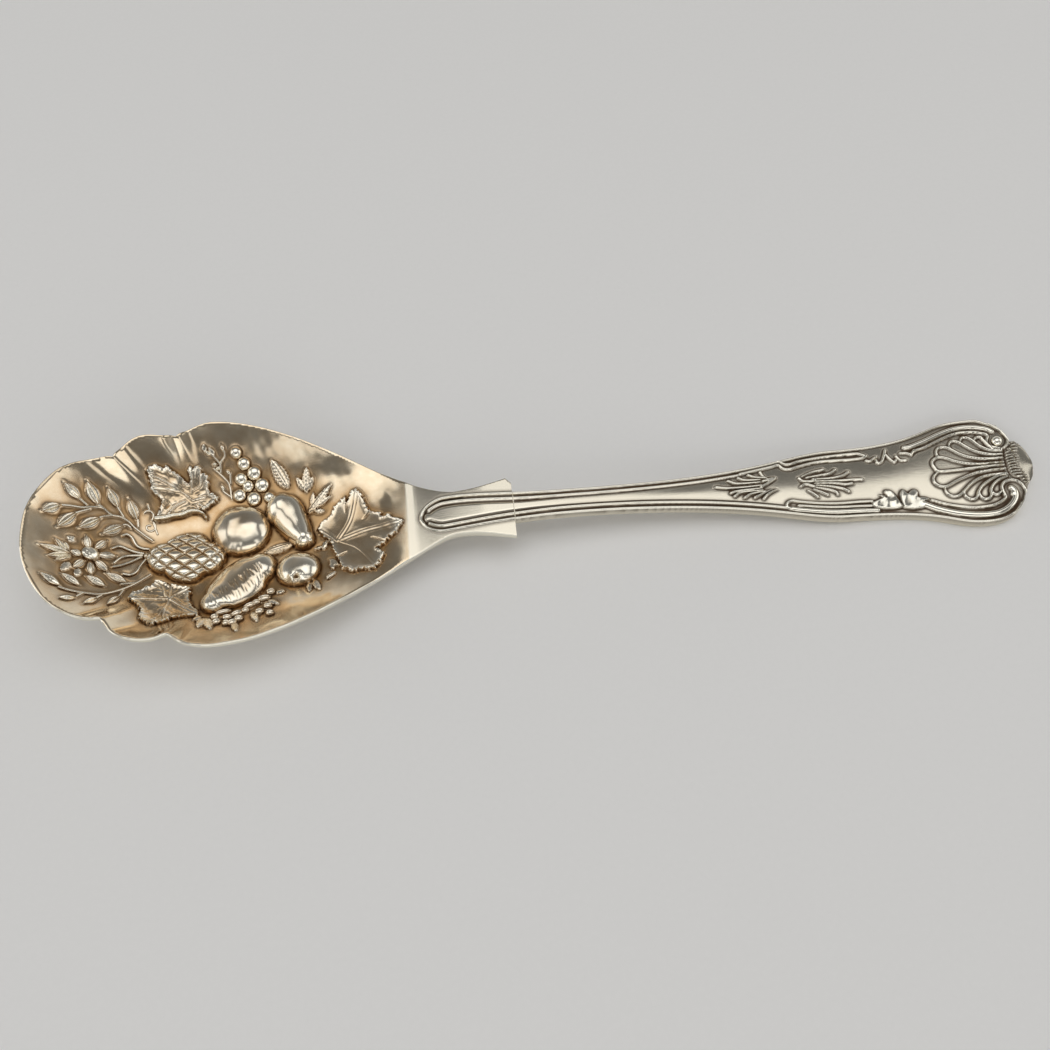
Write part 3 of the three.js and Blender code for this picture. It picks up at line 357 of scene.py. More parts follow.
class SpoonFinish(bpy.types.PropertyGroup):
    """Colours of the finishes."""
    # The gilding colour is laid close to the raised work by the shade mask: partly a matted ground, partly
    # painted shade
    gilding: colour("Gilding", "Colour of the gilding in the bowl", (0.53, 0.335, 0.16))
    polished_gilding: colour("Polished gilding", "Colour of the gilding on open sheet", (0.87, 0.76, 0.57))
    worn_gilding: colour("Worn gilding", "Colour of the gilding where it is rubbed thin", (0.93, 0.87, 0.73))
    silver: colour("Silver", "Colour of the polished silver", (0.80, 0.74, 0.61))
    worn_silver: colour("Rubbed silver", "Colour of the silver on its high points", (0.91, 0.87, 0.75))
    # The recess colours are laid in sunk places and at the foot of raised work: partly patina, partly painted
    # shade
    gilt_recess: colour("Gilt recess", "Colour in the chased lines of the bowl", (0.15, 0.085, 0.038))
    silver_recess: colour("Silver recess", "Colour in the struck lines of the handle", (0.085, 0.055, 0.034))
    floor: colour("Floor", "Colour of the floor", (0.86, 0.85, 0.83))


def line_through(*knots):
    """A smooth line y(x) through knots of (x, y, slope, handle behind, handle ahead)."""
    share = np.linspace(0, 1, 200)[:, None]
    rest = 1 - share
    weights = np.hstack([rest ** 3, 3 * share * rest ** 2, 3 * share ** 2 * rest, share ** 3])
    points = np.vstack([
        weights @ [(x0, y0), (x0 + ahead, y0 + slope0 * ahead), (x1 - behind, y1 - slope1 * behind), (x1, y1)]
        for (x0, y0, slope0, _, ahead), (x1, y1, slope1, behind, _) in zip(knots, knots[1:])])
    return lambda x: np.interp(x, points[:, 0], points[:, 1])


def smooth_step(value, low, high):
    """0 below low, 1 above high, and smooth between them."""
    share = np.clip((value - low) / (high - low), 0, 1)
    return share * share * (3 - 2 * share)


def dome(reach, power=0.62):
    """Height of a rounded form at a share of its reach."""
    return np.maximum(0, 1 - np.minimum(1, np.abs(reach)) ** 2) ** power


def bell(value, width):
    """1 at zero, falling smoothly on both sides."""
    return np.exp(-(value / width) ** 2)


def curve_through(points, steps=8):
    """Points of a smooth curve through the given ones."""
    points = np.asarray(points, float)
    padded = np.vstack([2 * points[0] - points[1], points, 2 * points[-1] - points[-2]])
    share = np.linspace(0, 1, steps, endpoint=False)[:, None]
    runs = []
    for a, b, c, d in zip(padded, padded[1:], padded[2:], padded[3:]):
        runs.append(0.5 * (2 * b + (c - a) * share + (2 * a - 5 * b + 4 * c - d) * share ** 2
                           + (3 * b - a - 3 * c + d) * share ** 3))
    return np.vstack([*runs, points[-1:]])


def run_along(path):
    """How far along a path each of its points lies."""
    return np.concatenate([[0], np.cumsum(np.hypot(*np.diff(np.asarray(path)[:, :2], axis=0).T))])


def uneven(x, y, size, seed):
    """Soft hills and dips between about -1 and 1, a size apart."""
    draws = np.random.default_rng(seed)
    total = np.zeros(np.shape(x))
    for _ in range(7):
        turn, phase = draws.uniform(0, 2 * math.pi, 2)
        pitch = size * draws.uniform(0.7, 1.5)
        total += np.sin((x * math.cos(turn) + y * math.sin(turn)) * 2 * math.pi / pitch + phase)
    return total / 3.5


class SpoonForm:
    """The plain form of the spoon, in millimetres: plan, side view, dish and lap joint."""

    # Rim notches: bearing from the widest point in degrees, depth, reach in degrees towards the tip and the
    # neck, and how far a crease runs in from the notch
    NOTCHES = [(109, 2.7, 23, 20, 11), (137.7, 3.4, 18, 21, 15)]
    CREASE_HEIGHT = 1.9
    CREASE_HALF_WIDTH = 5.4
    FULLNESS = 2.2
    ROUNDNESS = 2.35
    LOBE_FROM_TIP = 13
    NECK_DIP = 3
    SHOULDER_LENGTH = 23.1
    WAIST_FROM_NECK = 11
    WAIST_HALF_WIDTH = 5.1
    CROWN_FROM_SHOULDER = 5.1
    CROWN_HEIGHT = 8.2
    LAP = 20.0
    SOLDER = 0.15
    DROP_HALF_WIDTH = 4.2
    DROP_HEIGHT = 3.4
    STEM_WAIST_FROM_SHOULDER = 12.9
    STEM_UNDERSIDE = 5.05
    STEM_CROWN = 0.25
    TERMINAL_LENGTH = 42
    FLAT_FROM_STEM = 8.4
    SWELL_FROM_END = 12.7
    VOLUTE_FROM_END = 4
    VOLUTE_HALF_WIDTH = 7.4
    # What isn't the same on both sides: amount, place and spread, or amount, start and end
    NEAR_THREAD_INSET = (0.45, 11, 8)
    NOSE_LEAN = (1.1, 101.4, 103.0)
    FAR_SWELL = (0.35, 60, 84)
    FAR_SCROLL = [(0.5, 96.6, 2.4), (1.6, 100.7, 1.6)]
    FAR_END = (101.3, 101.9)

    def __init__(self, sizes):
        self.size = size = {name: getattr(sizes, name) / MM for name in SpoonSizes.__annotations__}
        self.tip = BOWL_BOX[0][0] / MM
        self.end = HANDLE_BOX[1][0] / MM
        self.widest = self.tip + size["widest_from_tip"]
        self.neck = self.tip + size["bowl_length"]
        self.waist = self.neck + self.WAIST_FROM_NECK
        self.shoulder = self.neck + self.SHOULDER_LENGTH
        self.crown = self.shoulder - self.CROWN_FROM_SHOULDER
        self.drop = self.shoulder - self.LAP
        self.plate_end = self.shoulder - self.SOLDER
        self.stem_waist = self.shoulder + self.STEM_WAIST_FROM_SHOULDER
        self.stem_end = self.end - self.TERMINAL_LENGTH
        self.flat = self.stem_end + self.FLAT_FROM_STEM
        self.swell = self.end - self.SWELL_FROM_END
        self.volute = self.end - self.VOLUTE_FROM_END
        self.draw_plan()
        self.draw_side_view()
        self.lap_slope = (self.top(self.shoulder) - self.top(self.drop)) / self.LAP

    def draw_plan(self):
        """Half widths of the bowl with its wings, and of the handle from the drop to the end."""
        size, span, rest = self.size, self.waist - self.widest, self.shoulder - self.waist
        self.side = line_through(
            (self.widest, size["bowl_half_width"], 0, 0, 0.37 * span),
            (self.waist, self.WAIST_HALF_WIDTH, 0, 0.165 * span, 0.4 * rest),
            (self.shoulder, size["wing_half_width"], 0.22, 0.35 * rest, 0))
        span, swell_span = self.stem_end - self.stem_waist, self.swell - self.stem_end
        self.half_width = line_through(
            (self.drop, 0.4, 4, 0, 0.5),
            (self.drop + 5.46, self.DROP_HALF_WIDTH, 0, 2.4, 0.35 * self.LAP),
            (self.stem_waist, size["stem_half_width"], 0, 0.75 * self.LAP, 0.7 * span),
            (self.stem_end, size["fiddle_half_width"], 0, 0.19 * span, 0.74 * swell_span),
            (self.swell, size["swell_half_width"], 0, 0.3 * swell_span, 0.8 * (self.volute - self.swell)),
            (self.volute, self.VOLUTE_HALF_WIDTH, -1.7, 0.25, 1.4),
            (self.end, 0.5, -9, 0.55, 0))

    def draw_side_view(self):
        """Heights of the rim and top, of the underside of the handle, and of the floor of the bowl."""
        size, lobe = self.size, self.tip + self.LOBE_FROM_TIP
        rim_span, neck_span, stem_span = self.neck - lobe, self.crown - self.neck, self.swell - self.crown
        flat_span, floor_span = self.flat - self.shoulder, self.crown - self.widest
        top_end = size["terminal_thickness"] + size["thread_height"]
        self.top = line_through(
            (self.tip, size["tip_rim_height"], -0.75, 0, 2),
            (lobe, size["lobe_rim_height"], -0.12, 5, 0.85 * rim_span),
            (self.neck - self.NECK_DIP, size["neck_height"], 0, 0.11 * rim_span, 0.5 * neck_span),
            (self.crown, self.CROWN_HEIGHT, 0, 0.62 * neck_span, 0.26 * stem_span),
            (self.swell - self.SWELL_FROM_END, top_end, 0, 0.22 * stem_span, 4),
            (self.end, top_end, 0, 4, 0))
        self.under = line_through(
            (self.drop, self.DROP_HEIGHT, 0.09, 0, 0.4 * self.LAP),
            (self.shoulder + 5, self.STEM_UNDERSIDE, 0, 0.35 * self.LAP, 0.22 * flat_span),
            (self.flat, 0, 0, 0.28 * flat_span, 3),
            (self.end, 0, 0, 3, 0))
        self.floor = line_through(
            (self.widest, size["sheet_gauge"], 0, 0, 0.5 * floor_span),
            (self.crown, self.CROWN_HEIGHT, 0, 0.36 * floor_span, 0))

    def reach(self, x, side):
        """Distance from the middle line to the handle's edge, on the far side (1) or the near one (-1)."""
        return self.half_width(x) + side * self.lean(x) + (self.bulge(x) if side > 0 else 0)

    def near_thread(self, x):
        """Outer edge of the near thread; on the shoulder plate it lies further in than the far one."""
        inset, place, spread = self.NEAR_THREAD_INSET
        return inset * bell(x - place, spread) * (x < self.shoulder) - self.reach(x, -1)

    def lean(self, x):
        """How far the nose of the shell leans to the far side."""
        most, start, end = self.NOSE_LEAN
        return most * smooth_step(x, start, end)

    def bulge(self, x):
        """How much further the far side of the terminal stands out than the near one."""
        swell, start, end = self.FAR_SWELL
        scroll = sum(most * bell(x - place, spread) for most, place, spread in self.FAR_SCROLL)
        return (swell * smooth_step(x, start, end) + scroll) * (1 - smooth_step(x, *self.FAR_END))

    def lap(self, x):
        """Height of the underside of the shoulder plate."""
        return self.top(self.shoulder) - self.size["plate_gauge"] + self.lap_slope * (x - self.shoulder)

    def envelope(self, angle):
        """Radius of the bowl plan from its widest point, without the notches."""
        along = np.abs(np.cos(angle)) / self.size["widest_from_tip"]
        across = np.abs(np.sin(angle)) / self.size["bowl_half_width"]
        return (along ** self.FULLNESS + across ** self.FULLNESS) ** (-1 / self.FULLNESS)

    def rim(self, angle):
        """Radius of the rim with its notches."""
        bearing = np.degrees(np.abs(angle))
        radius = self.envelope(angle)
        for centre, depth, tip_reach, neck_reach, _ in self.NOTCHES:
            reach = np.where(bearing > centre, tip_reach, neck_reach)
            radius = radius - depth * (1 - np.minimum(1, np.abs(bearing - centre) / reach)) ** 2
        return radius

    def dish(self, x, y):
        """Height of the plain dish."""
        floor, gauge = self.floor(x), self.size["sheet_gauge"]
        across = np.minimum(1.2, np.abs(y) / self.side(x))
        towards_neck = floor + (self.top(x) - floor) * across ** self.ROUNDNESS
        angle = np.arctan2(y, x - self.widest)
        radius = self.envelope(angle)
        reach = np.minimum(1.2, np.hypot(x - self.widest, y) / radius)
        rim = self.top(self.widest + radius * np.cos(angle))
        towards_tip = gauge + (rim - gauge) * reach ** self.ROUNDNESS
        return np.where(x > self.widest, towards_neck, towards_tip)

    def crease(self, x, y):
        """Height of the creases that run into the bowl from the notches."""
        radius = np.hypot(x - self.widest, y)
        angle = np.arctan2(np.abs(y), x - self.widest)
        height = np.zeros(np.shape(x))
        for centre, _, _, _, run in self.NOTCHES:
            bearing = math.radians(centre)
            inwards = np.clip((self.rim(bearing) - radius) / run, 0, 1)
            aside = np.minimum(1, np.abs(angle - bearing) * radius / self.CREASE_HALF_WIDTH)
            height += self.CREASE_HEIGHT * (1 - inwards) ** 1.5 * bell(aside, 0.4)
        return height

    def plate_share(self, x):
        """0 in the bowl and 1 on the shoulder plate, with a smooth change at the neck."""
        return smooth_step(x, self.neck - 5, self.neck + 1.5)

    def front(self, x, y):
        """Height of the front of the bowl and of the shoulder plate, without chased work."""
        share = self.plate_share(x)
        plate = self.top(x) - self.size["thread_height"] * smooth_step(x, self.neck, self.neck + 3)
        return (self.dish(x, y) + self.crease(x, y)) * (1 - share) + plate * share

    def normal(self, x, y):
        """Direction square to the front."""
        step = 0.08
        slope_x = (self.front(x + step, y) - self.front(x - step, y)) / (2 * step)
        slope_y = (self.front(x, y + step) - self.front(x, y - step)) / (2 * step)
        normal = np.stack([-slope_x, -slope_y, np.ones(np.shape(x))], -1)
        return normal / np.linalg.norm(normal, axis=-1, keepdims=True)

    def ground(self, x, y):
        """Height of the top of the handle, between its threads, with a slight crown."""
        across = np.minimum(1, np.abs(y) / np.maximum(2, self.half_width(x)))
        crown = self.STEM_CROWN * smooth_step(x, self.shoulder, self.shoulder + 12)
        return self.top(x) - self.size["thread_height"] + crown * (1 - across ** 2) - 0.05

    def surface(self, x, y):
        """Height of the plain top of the spoon."""
        return np.where(x < self.plate_end, self.front(x, y), self.ground(x, y))

    def laid(self, path):
        """A path of the plan laid on the plain surface."""
        path = np.asarray(path, float)
        return np.column_stack([path, self.surface(path[:, 0], path[:, 1])])


class PhotoView:
    """The camera of the photograph, which lays its pixels on the plain top of the spoon."""

    AT = (-12.130, -121.044, 218.262)
    AXES = ((0.99424, -0.10433, -0.02473), (0.10325, 0.86938, 0.48325), (-0.02892, -0.48301, 0.87514))
    LENS = 40.0
    SENSOR = 36.0
    FRAME = 1050.0
    HIGHEST = 22.0
    FIRST_STEPS = 150
    HALVINGS = 18

    def __init__(self, form):
        self.form = form

    def above(self, rays, share, lift):
        """Where points of the rays lie, and how high above the surface."""
        points = np.array(self.AT) + rays * share[..., None]
        x, y, z = np.moveaxis(points, -1, 0)
        return points, z - self.form.surface(x, y) - lift

    def places(self, pixels, lift=0.0):
        """Places in the plan, in millimetres, of pixels that show something at a height above the surface."""
        pixels = np.asarray(pixels, float).reshape(-1, 2)
        x, y = (pixels - self.FRAME / 2).T * self.SENSOR / self.LENS / self.FRAME
        rays = np.column_stack([x, -y, -np.ones(len(x))]) @ np.array(self.AXES)
        ends = [(height - self.AT[2]) / rays[:, 2] for height in (self.HIGHEST, 0.0)]
        share = np.linspace(*ends, self.FIRST_STEPS).T
        _, height = self.above(rays[:, None], share, lift)
        falls = (height[:, :-1] > 0) & (height[:, 1:] <= 0)
        last = falls.shape[1] - 1 - np.argmax(falls[:, ::-1], axis=1)
        each = np.arange(len(pixels))
        low, high = share[each, last], share[each, last + 1]
        for _ in range(self.HALVINGS):
            middle = (low + high) / 2
            points, height = self.above(rays, middle, lift)
            low, high = np.where(height > 0, middle, low), np.where(height > 0, high, middle)
        return points[:, :2]

    def place(self, pixel, lift=0.0):
        """The place in the plan of one pixel."""
        return self.places([pixel], lift)[0]

    def curve(self, pixels, lift=0.0, steps=6):
        """A smooth path of the plan through pixels."""
        path = self.places(pixels, lift)
        return curve_through(path, steps) if len(path) > 2 else path


class Relief:
    """Heights chased or struck into the top of a piece, on a fine grid over its plan, in millimetres."""

    STEP = 0.08
    FAR_OFF = 99.0

    def __init__(self, low_x, high_x, half_width):
        self.x = np.arange(low_x, high_x, self.STEP)
        self.y = np.arange(-half_width, half_width, self.STEP)
        self.height = np.zeros((len(self.x), len(self.y)))
        self.cover = np.zeros(self.height.shape)

    def places_in(self, window):
        """The places of the cells of a window."""
        return np.meshgrid(self.x[window[0]], self.y[window[1]], indexing="ij")

    def patch(self, low, high):
        """The cells between two corners, with their places."""
        ends = zip((self.x, self.y), zip(low, high))
        window = tuple(slice(*np.searchsorted(line, pair)) for line, pair in ends)
        return window, *self.places_in(window)

    def round_spot(self, at, reach):
        """The cells round a point, with how far from it each one lies in x and in y."""
        window, x, y = self.patch(np.subtract(at, reach), np.add(at, reach))
        return window, x - at[0], y - at[1]

    def from_path(self, path, x, y):
        """How far places are from a path, and how far along it."""
        distance = np.full(x.shape, self.FAR_OFF)
        along = np.zeros(x.shape)
        start = 0.0
        for (ax, ay), (bx, by) in zip(path, path[1:]):
            step = math.hypot(bx - ax, by - ay)
            if step == 0:
                continue
            run = np.clip(((x - ax) * (bx - ax) + (y - ay) * (by - ay)) / step, 0, step)
            away = np.hypot(x - ax - run * (bx - ax) / step, y - ay - run * (by - ay) / step)
            closer = away < distance
            distance = np.where(closer, away, distance)
            along = np.where(closer, start + run, along)
            start += step
        return distance, along

    def near(self, path, reach):
        """The cells round a path, with their distance from it and how far along it they lie."""
        path = np.asarray(path, float)
        window, x, y = self.patch(path.min(0) - reach, path.max(0) + reach)
        return window, *self.from_path(path, x, y)

    def inside(self, outline):
        """The cells round a closed outline, with their places and how deep inside it they lie."""
        closed = np.vstack([outline, outline[:1]])
        window, x, y = self.patch(closed.min(0) - 0.5, closed.max(0) + 0.5)
        distance, _ = self.from_path(closed, x, y)
        within = np.zeros(x.shape, bool)
        for (x0, y0), (x1, y1) in zip(closed, closed[1:]):
            if y0 != y1:
                within ^= ((y0 > y) != (y1 > y)) & (x < x0 + (y - y0) * (x1 - x0) / (y1 - y0))
        return window, x, y, np.where(within, distance, -distance)

    def lift(self, window, height, cover=None):
        """Raises the sheet to a height where that is higher."""
        self.height[window] = np.maximum(self.height[window], height)
        self.mark(window, height > 0.02 if cover is None else cover)

    def mark(self, window, cover):
        """Says which cells are covered by raised work."""
        self.cover[window] = np.maximum(self.cover[window], cover)

    def add(self, window, height):
        """Adds a height, which may be below zero."""
        self.height[window] += height

    def knob(self, at, radius, height, power, reach):
        """A round knob at a point; what is sunk within its reach is filled up again."""
        window, dx, dy = self.round_spot(at, reach)
        self.lift(window, height * dome(np.hypot(dx, dy) / radius, power))

    def wire(self, path, width, height, taper=0.0, power=0.5):
        """A raised line along a path, thinner towards its end, or with a taper below 0 towards both ends."""
        window, distance, along = self.near(path, width)
        share = along / run_along(path)[-1]
        half = width / 2 * (1 - (taper * share if taper >= 0 else -taper * (2 * share - 1) ** 4))
        self.lift(window, height * (1 - 0.4 * (1 - 2 * half / width)) * dome(distance / half, power))

    def groove(self, path, width, depth):
        """A chased line along a path, which dies out at its ends."""
        window, distance, along = self.near(path, width)
        share = np.clip(along / run_along(path)[-1], 0.05, 0.95)
        self.add(window, -depth * dome(distance / (width / 2), 1.0) * np.sin(np.pi * share) ** 0.5)

    def body(self, spine, height):
        """A rounded body round a line of (x, y, radius); gives its cells and how far out each one lies."""
        spine = curve_through(spine, 6)
        window, distance, along = self.near(spine[:, :2], spine[:, 2].max() + 0.5)
        share = distance / np.interp(along, run_along(spine), spine[:, 2])
        return window, share, height * dome(share, 0.55)

    def softened(self, values, reach):
        """Values spread over a reach, as an average with soft edges."""
        half = int(2.5 * reach / self.STEP)
        weights = np.exp(-0.5 * (np.arange(-half, half + 1) * self.STEP / reach) ** 2)
        weights /= weights.sum()
        for axis in (0, 1):
            padded = np.pad(values, [(half, half) if a == axis else (0, 0) for a in (0, 1)], mode="edge")
            total = np.zeros(values.shape)
            for k, weight in enumerate(weights):
                part = slice(k, k + values.shape[axis])
                total += weight * (padded[part] if axis == 0 else padded[:, part])
            values = total
        return values

    def sample(self, values, x, y):
        """Values of a grid at points of the plan."""
        u = np.clip((x - self.x[0]) / self.STEP, 0, len(self.x) - 1.001)
        v = np.clip((y - self.y[0]) / self.STEP, 0, len(self.y) - 1.001)
        i, j = u.astype(int), v.astype(int)
        u, v = u - i, v - j
        return ((values[i, j] * (1 - u) + values[i + 1, j] * u) * (1 - v)
                + (values[i, j + 1] * (1 - u) + values[i + 1, j + 1] * u) * v)

    def make_masks(self, sink, rise, foot_shade_share):
        """Where the work is sunk or lies at the foot of raised work, darkened partly as patina and partly as
        painted shade; where it is rubbed bright; and where it is close to raised work, a deeper gilding that
        is partly painted shade.
        """
        soft = self.softened(self.height, 0.4)
        broad = self.softened(self.height, 1.3)
        # The recess mask is painted shade on the ground at the foot of raised work, and partly patina, partly
        # painted shade where the work is sunk
        edge = self.softened(self.cover, 0.4) * (1 - self.cover) * foot_shade_share
        sunk = np.clip((soft - self.height) / sink, 0, 1)
        close = np.clip(self.softened(self.cover, 1.6) * 1.7, 0, 1)
        self.recess = np.clip(self.softened(np.maximum(sunk, edge), 0.07), 0, 1)
        # The shade mask is painted shade on the ground close to raised work, and partly a deeper, matted
        # gilding there
        self.shade = close * (1 - 0.75 * self.softened(self.cover, 0.12))
        self.worn = np.clip((self.height - broad) / rise, 0, 1)


def body_spine(view, fruit):
    """The line through a fruit, with its radii."""
    places = view.places([point[:2] for point in fruit["spine"]], 0.3 * fruit["height"])
    return np.column_stack([places, [point[2] for point in fruit["spine"]]])


def raise_fruit(relief, view):
    """The five fruits with their own details."""
    bodies = {name: relief.body(body_spine(view, fruit), fruit["height"]) for name, fruit in FRUIT.items()}
    for name in ("peach", "pear", "apple", "melon"):
        window, share, height = bodies[name]
        dents = uneven(*relief.places_in(window), 3.4, len(name))
        relief.lift(window, height + 0.05 * dents * (share < 0.9))
    for pixel, radius, height in PEAR_KNOBS:
        relief.knob(view.place(pixel, height / 2), radius, height, power=0.4, reach=1.2)
    window, dx, dy = relief.round_spot(view.place(APPLE_EYE, 0.8), 2.5)
    fold = 0.45 * bell(np.hypot(np.abs(dx) - 1.0, dy - 0.4), 0.6)
    pit = 0.85 * bell(np.hypot(dx, dy - 0.15), 0.5)
    relief.add(window, fold - pit + 0.6 * bell(np.hypot(dx, dy + 0.1), 0.25))
    chase_melon(relief, view)
    chase_pineapple(relief, view, *bodies["pineapple"])


def chase_melon(relief, view):
    """Strokes across the melon, each one with a finer stroke beyond it."""
    start, end = view.places(MELON_STROKES, 1.8)
    for k in range(MELON_STROKE_COUNT):
        root = start + (end - start) * k / (MELON_STROKE_COUNT - 1) + (0, 0.4 * math.sin(2.3 * k))
        lean = (0.7 + 0.2 * math.sin(k), -1.6 - 0.4 * math.cos(1.7 * k))
        relief.groove([root, root + lean], width=0.42, depth=0.2)
        relief.groove([root + (0.9, -2.4), root + (1.5, -3.9 - 0.3 * math.sin(k))], width=0.36, depth=0.1)


def chase_pineapple(relief, view, window, share, height):
    """Scales in a crossed net that wraps round the pineapple, and the knob at its end."""
    x, y = relief.places_in(window)
    spine = body_spine(view, FRUIT["pineapple"])
    middle, lean = spine[2, :2], spine[-1, :2] - spine[0, :2]
    turn = math.atan2(lean[1], lean[0])
    along = (x - middle[0]) * math.cos(turn) + (y - middle[1]) * math.sin(turn)
    across = (y - middle[1]) * math.cos(turn) - (x - middle[0]) * math.sin(turn)
    steps = [np.arcsin(np.clip(off / reach, -1, 1)) * radius / pitch
             for off, (reach, radius, pitch) in zip((along, across), PINEAPPLE_NET)]
    u, v = (steps[0] + steps[1]) % 1, (steps[0] - steps[1]) % 1
    from_line = np.minimum(np.minimum(u, 1 - u), np.minimum(v, 1 - v))
    scale = 0.3 * dome(2 * u - 1, 0.5) * dome(2 * v - 1, 0.5) + 0.2 * (v - u) - 0.3 * bell(from_line, 0.07)
    relief.lift(window, height + scale * smooth_step(1 - share, 0.0, 0.1), share < 1)
    relief.knob(view.place(PINEAPPLE_KNOB, 0.4), radius=1.0, height=1.0, power=0.5, reach=1.6)


def raise_vine_leaf(relief, view, leaf, seed):
    """A lobed leaf: a curled edge, raised veins with chased lines beside them, and hollows between them."""
    window, x, y, depth = relief.inside(view.places(leaf["outline"], leaf["height"] / 2))
    depth = depth + 0.24 * uneven(x, y, 0.8, seed) * (1 - smooth_step(depth, 0.3, 1.0))
    from_vein = np.full(x.shape, 9.0)
    twig = np.zeros(x.shape)
    for line in leaf["veins"]:
        away, run = relief.from_path(view.curve(line, leaf["height"]), x, y)
        closer = away < from_vein
        slant = ((run - 0.75 * away) / 1.5) % 1
        twig = np.where(closer, bell(slant - 0.5, 0.1) * (away < 2.6) * (away > 0.4), twig)
        from_vein = np.minimum(away, from_vein)
    vein = leaf["vein"] * (0.16 * bell(from_vein, 0.14) - 0.16 * bell(from_vein - 0.32, 0.13))
    hollow = smooth_step(depth, 0.35, 1.3) * smooth_step(from_vein, 0.3, 1.3)
    body = (leaf["height"] + 0.14 * bell(depth - 0.32, 0.2) - leaf["folds"] * 0.7 * hollow
            + leaf["folds"] * 0.5 * uneven(x, y, 3.6, seed + 9) * smooth_step(depth, 0.3, 1.2)
            + vein * smooth_step(depth, 0.1, 0.4) - leaf["twigs"] * twig * smooth_step(depth, 0.2, 0.6))
    relief.lift(window, np.where(depth > 0, body * smooth_step(depth, -0.05, 0.22), 0))


def raise_small_leaf(relief, view, base, tip, width, height=0.6):
    """A pointed leaf with a toothed, curled edge and a sunk middle vein."""
    base, tip = view.places([base, tip], height / 2)
    size = np.hypot(*(tip - base))
    half = width / PIXELS_PER_MM / 2
    window, distance, run = relief.near([base, tip], half + 0.3)
    share = np.clip(run / size, 0, 1)
    teeth = 0.88 + 0.2 * np.abs(2 * ((run / 0.75) % 1) - 1)
    half = half * np.sin(np.pi * np.clip(share, 0.03, 1) ** 0.8) ** 0.7 * teeth + 1e-6
    reach = distance / half
    edge = 0.35 * bell(reach - 0.5, 0.22)
    side_veins = bell((((run - 0.9 * distance) / 0.8) % 1 - 0.5), 0.12)
    body = height * (dome(reach, 0.35) - edge) - 0.2 * bell(distance, 0.14) - 0.05 * side_veins
    relief.lift(window, np.where((reach < 1) & (share > 0) & (share < 1), body, 0))


def mark_raised_forms(relief, view):
    """Marks the sheet under the leaves, stems and berries that are pieces of their own."""
    for base, tip, width in SPRAY_LEAVES + FAN_LEAF + PETALS + BUDS:
        path = view.places([base, tip], 0.2)
        window, distance, run = relief.near(path, width / PIXELS_PER_MM)
        share = np.clip(run / run_along(path)[-1], 0.1, 0.9)
        relief.mark(window, distance < 0.46 * width / PIXELS_PER_MM * np.sin(np.pi * share))
    for path in SPRAY_STEMS + CROWN_LEAVES + TENDRIL_CURLS:
        window, distance, _ = relief.near(view.curve(path), 1)
        relief.mark(window, distance < STEM_RADIUS)
    for pixel_x, pixel_y, across, *_ in [(x, y, 2 * r) for x, y, r in GRAPES] + BERRIES:
        window, dx, dy = relief.round_spot(view.place((pixel_x, pixel_y), 0.5), 2)
        relief.mark(window, np.hypot(dx, dy * 1.15) < 0.48 * across / PIXELS_PER_MM)


def chase_bowl(form, view):
    """The relief of the bowl: fruit, leaves, the sunk ground and the marks of the tools."""
    relief = Relief(form.tip - 1, form.shoulder + 1, form.size["bowl_half_width"] + 1)
    for seed, leaf in enumerate(VINE_LEAVES):
        raise_vine_leaf(relief, view, leaf, seed)
    for crease in LEAF_CREASES:
        relief.groove(view.curve(crease, 0.6), width=0.5, depth=0.3)
    for leaf in SMALL_LEAVES:
        raise_small_leaf(relief, view, *leaf)
    window, dx, dy = relief.round_spot(view.place(LEAF_HOLE, 0.3), 2)
    relief.add(window, -0.55 * bell(np.hypot(dx, dy), 0.75))
    relief.wire(view.curve(LEAF_FOLD, 0.8), width=1.2, height=1.25, taper=0.4, power=0.6)
    raise_fruit(relief, view)
    window, dx, dy = relief.round_spot(view.place(FLOWER_EYE, 0.4), 2)
    x, y = relief.places_in(window)
    away = np.hypot(dx, dy)
    relief.lift(window, 1.1 * dome(away / 1.5, 0.3) + 0.06 * np.cos(4.6 * x) * np.cos(4.6 * y) * (away < 1.2))
    mark_raised_forms(relief, view)
    on_dish = smooth_step(form.neck - relief.x, 0, 4)[:, None]
    relief.height -= 0.4 * relief.softened(relief.cover, 0.33) * (1 - relief.cover) * on_dish
    x, y = np.meshgrid(relief.x, relief.y, indexing="ij")
    relief.height += on_dish * (0.05 * uneven(x, y, 6.5, 3) + 0.012 * uneven(x, y, 1.9, 4))
    strike_threads(relief, form, form.plate_end)
    relief.make_masks(sink=0.12 + 0.24 * on_dish, rise=0.18 + 0.27 * on_dish, foot_shade_share=1.2 + 0.7 * on_dish)
    return relief


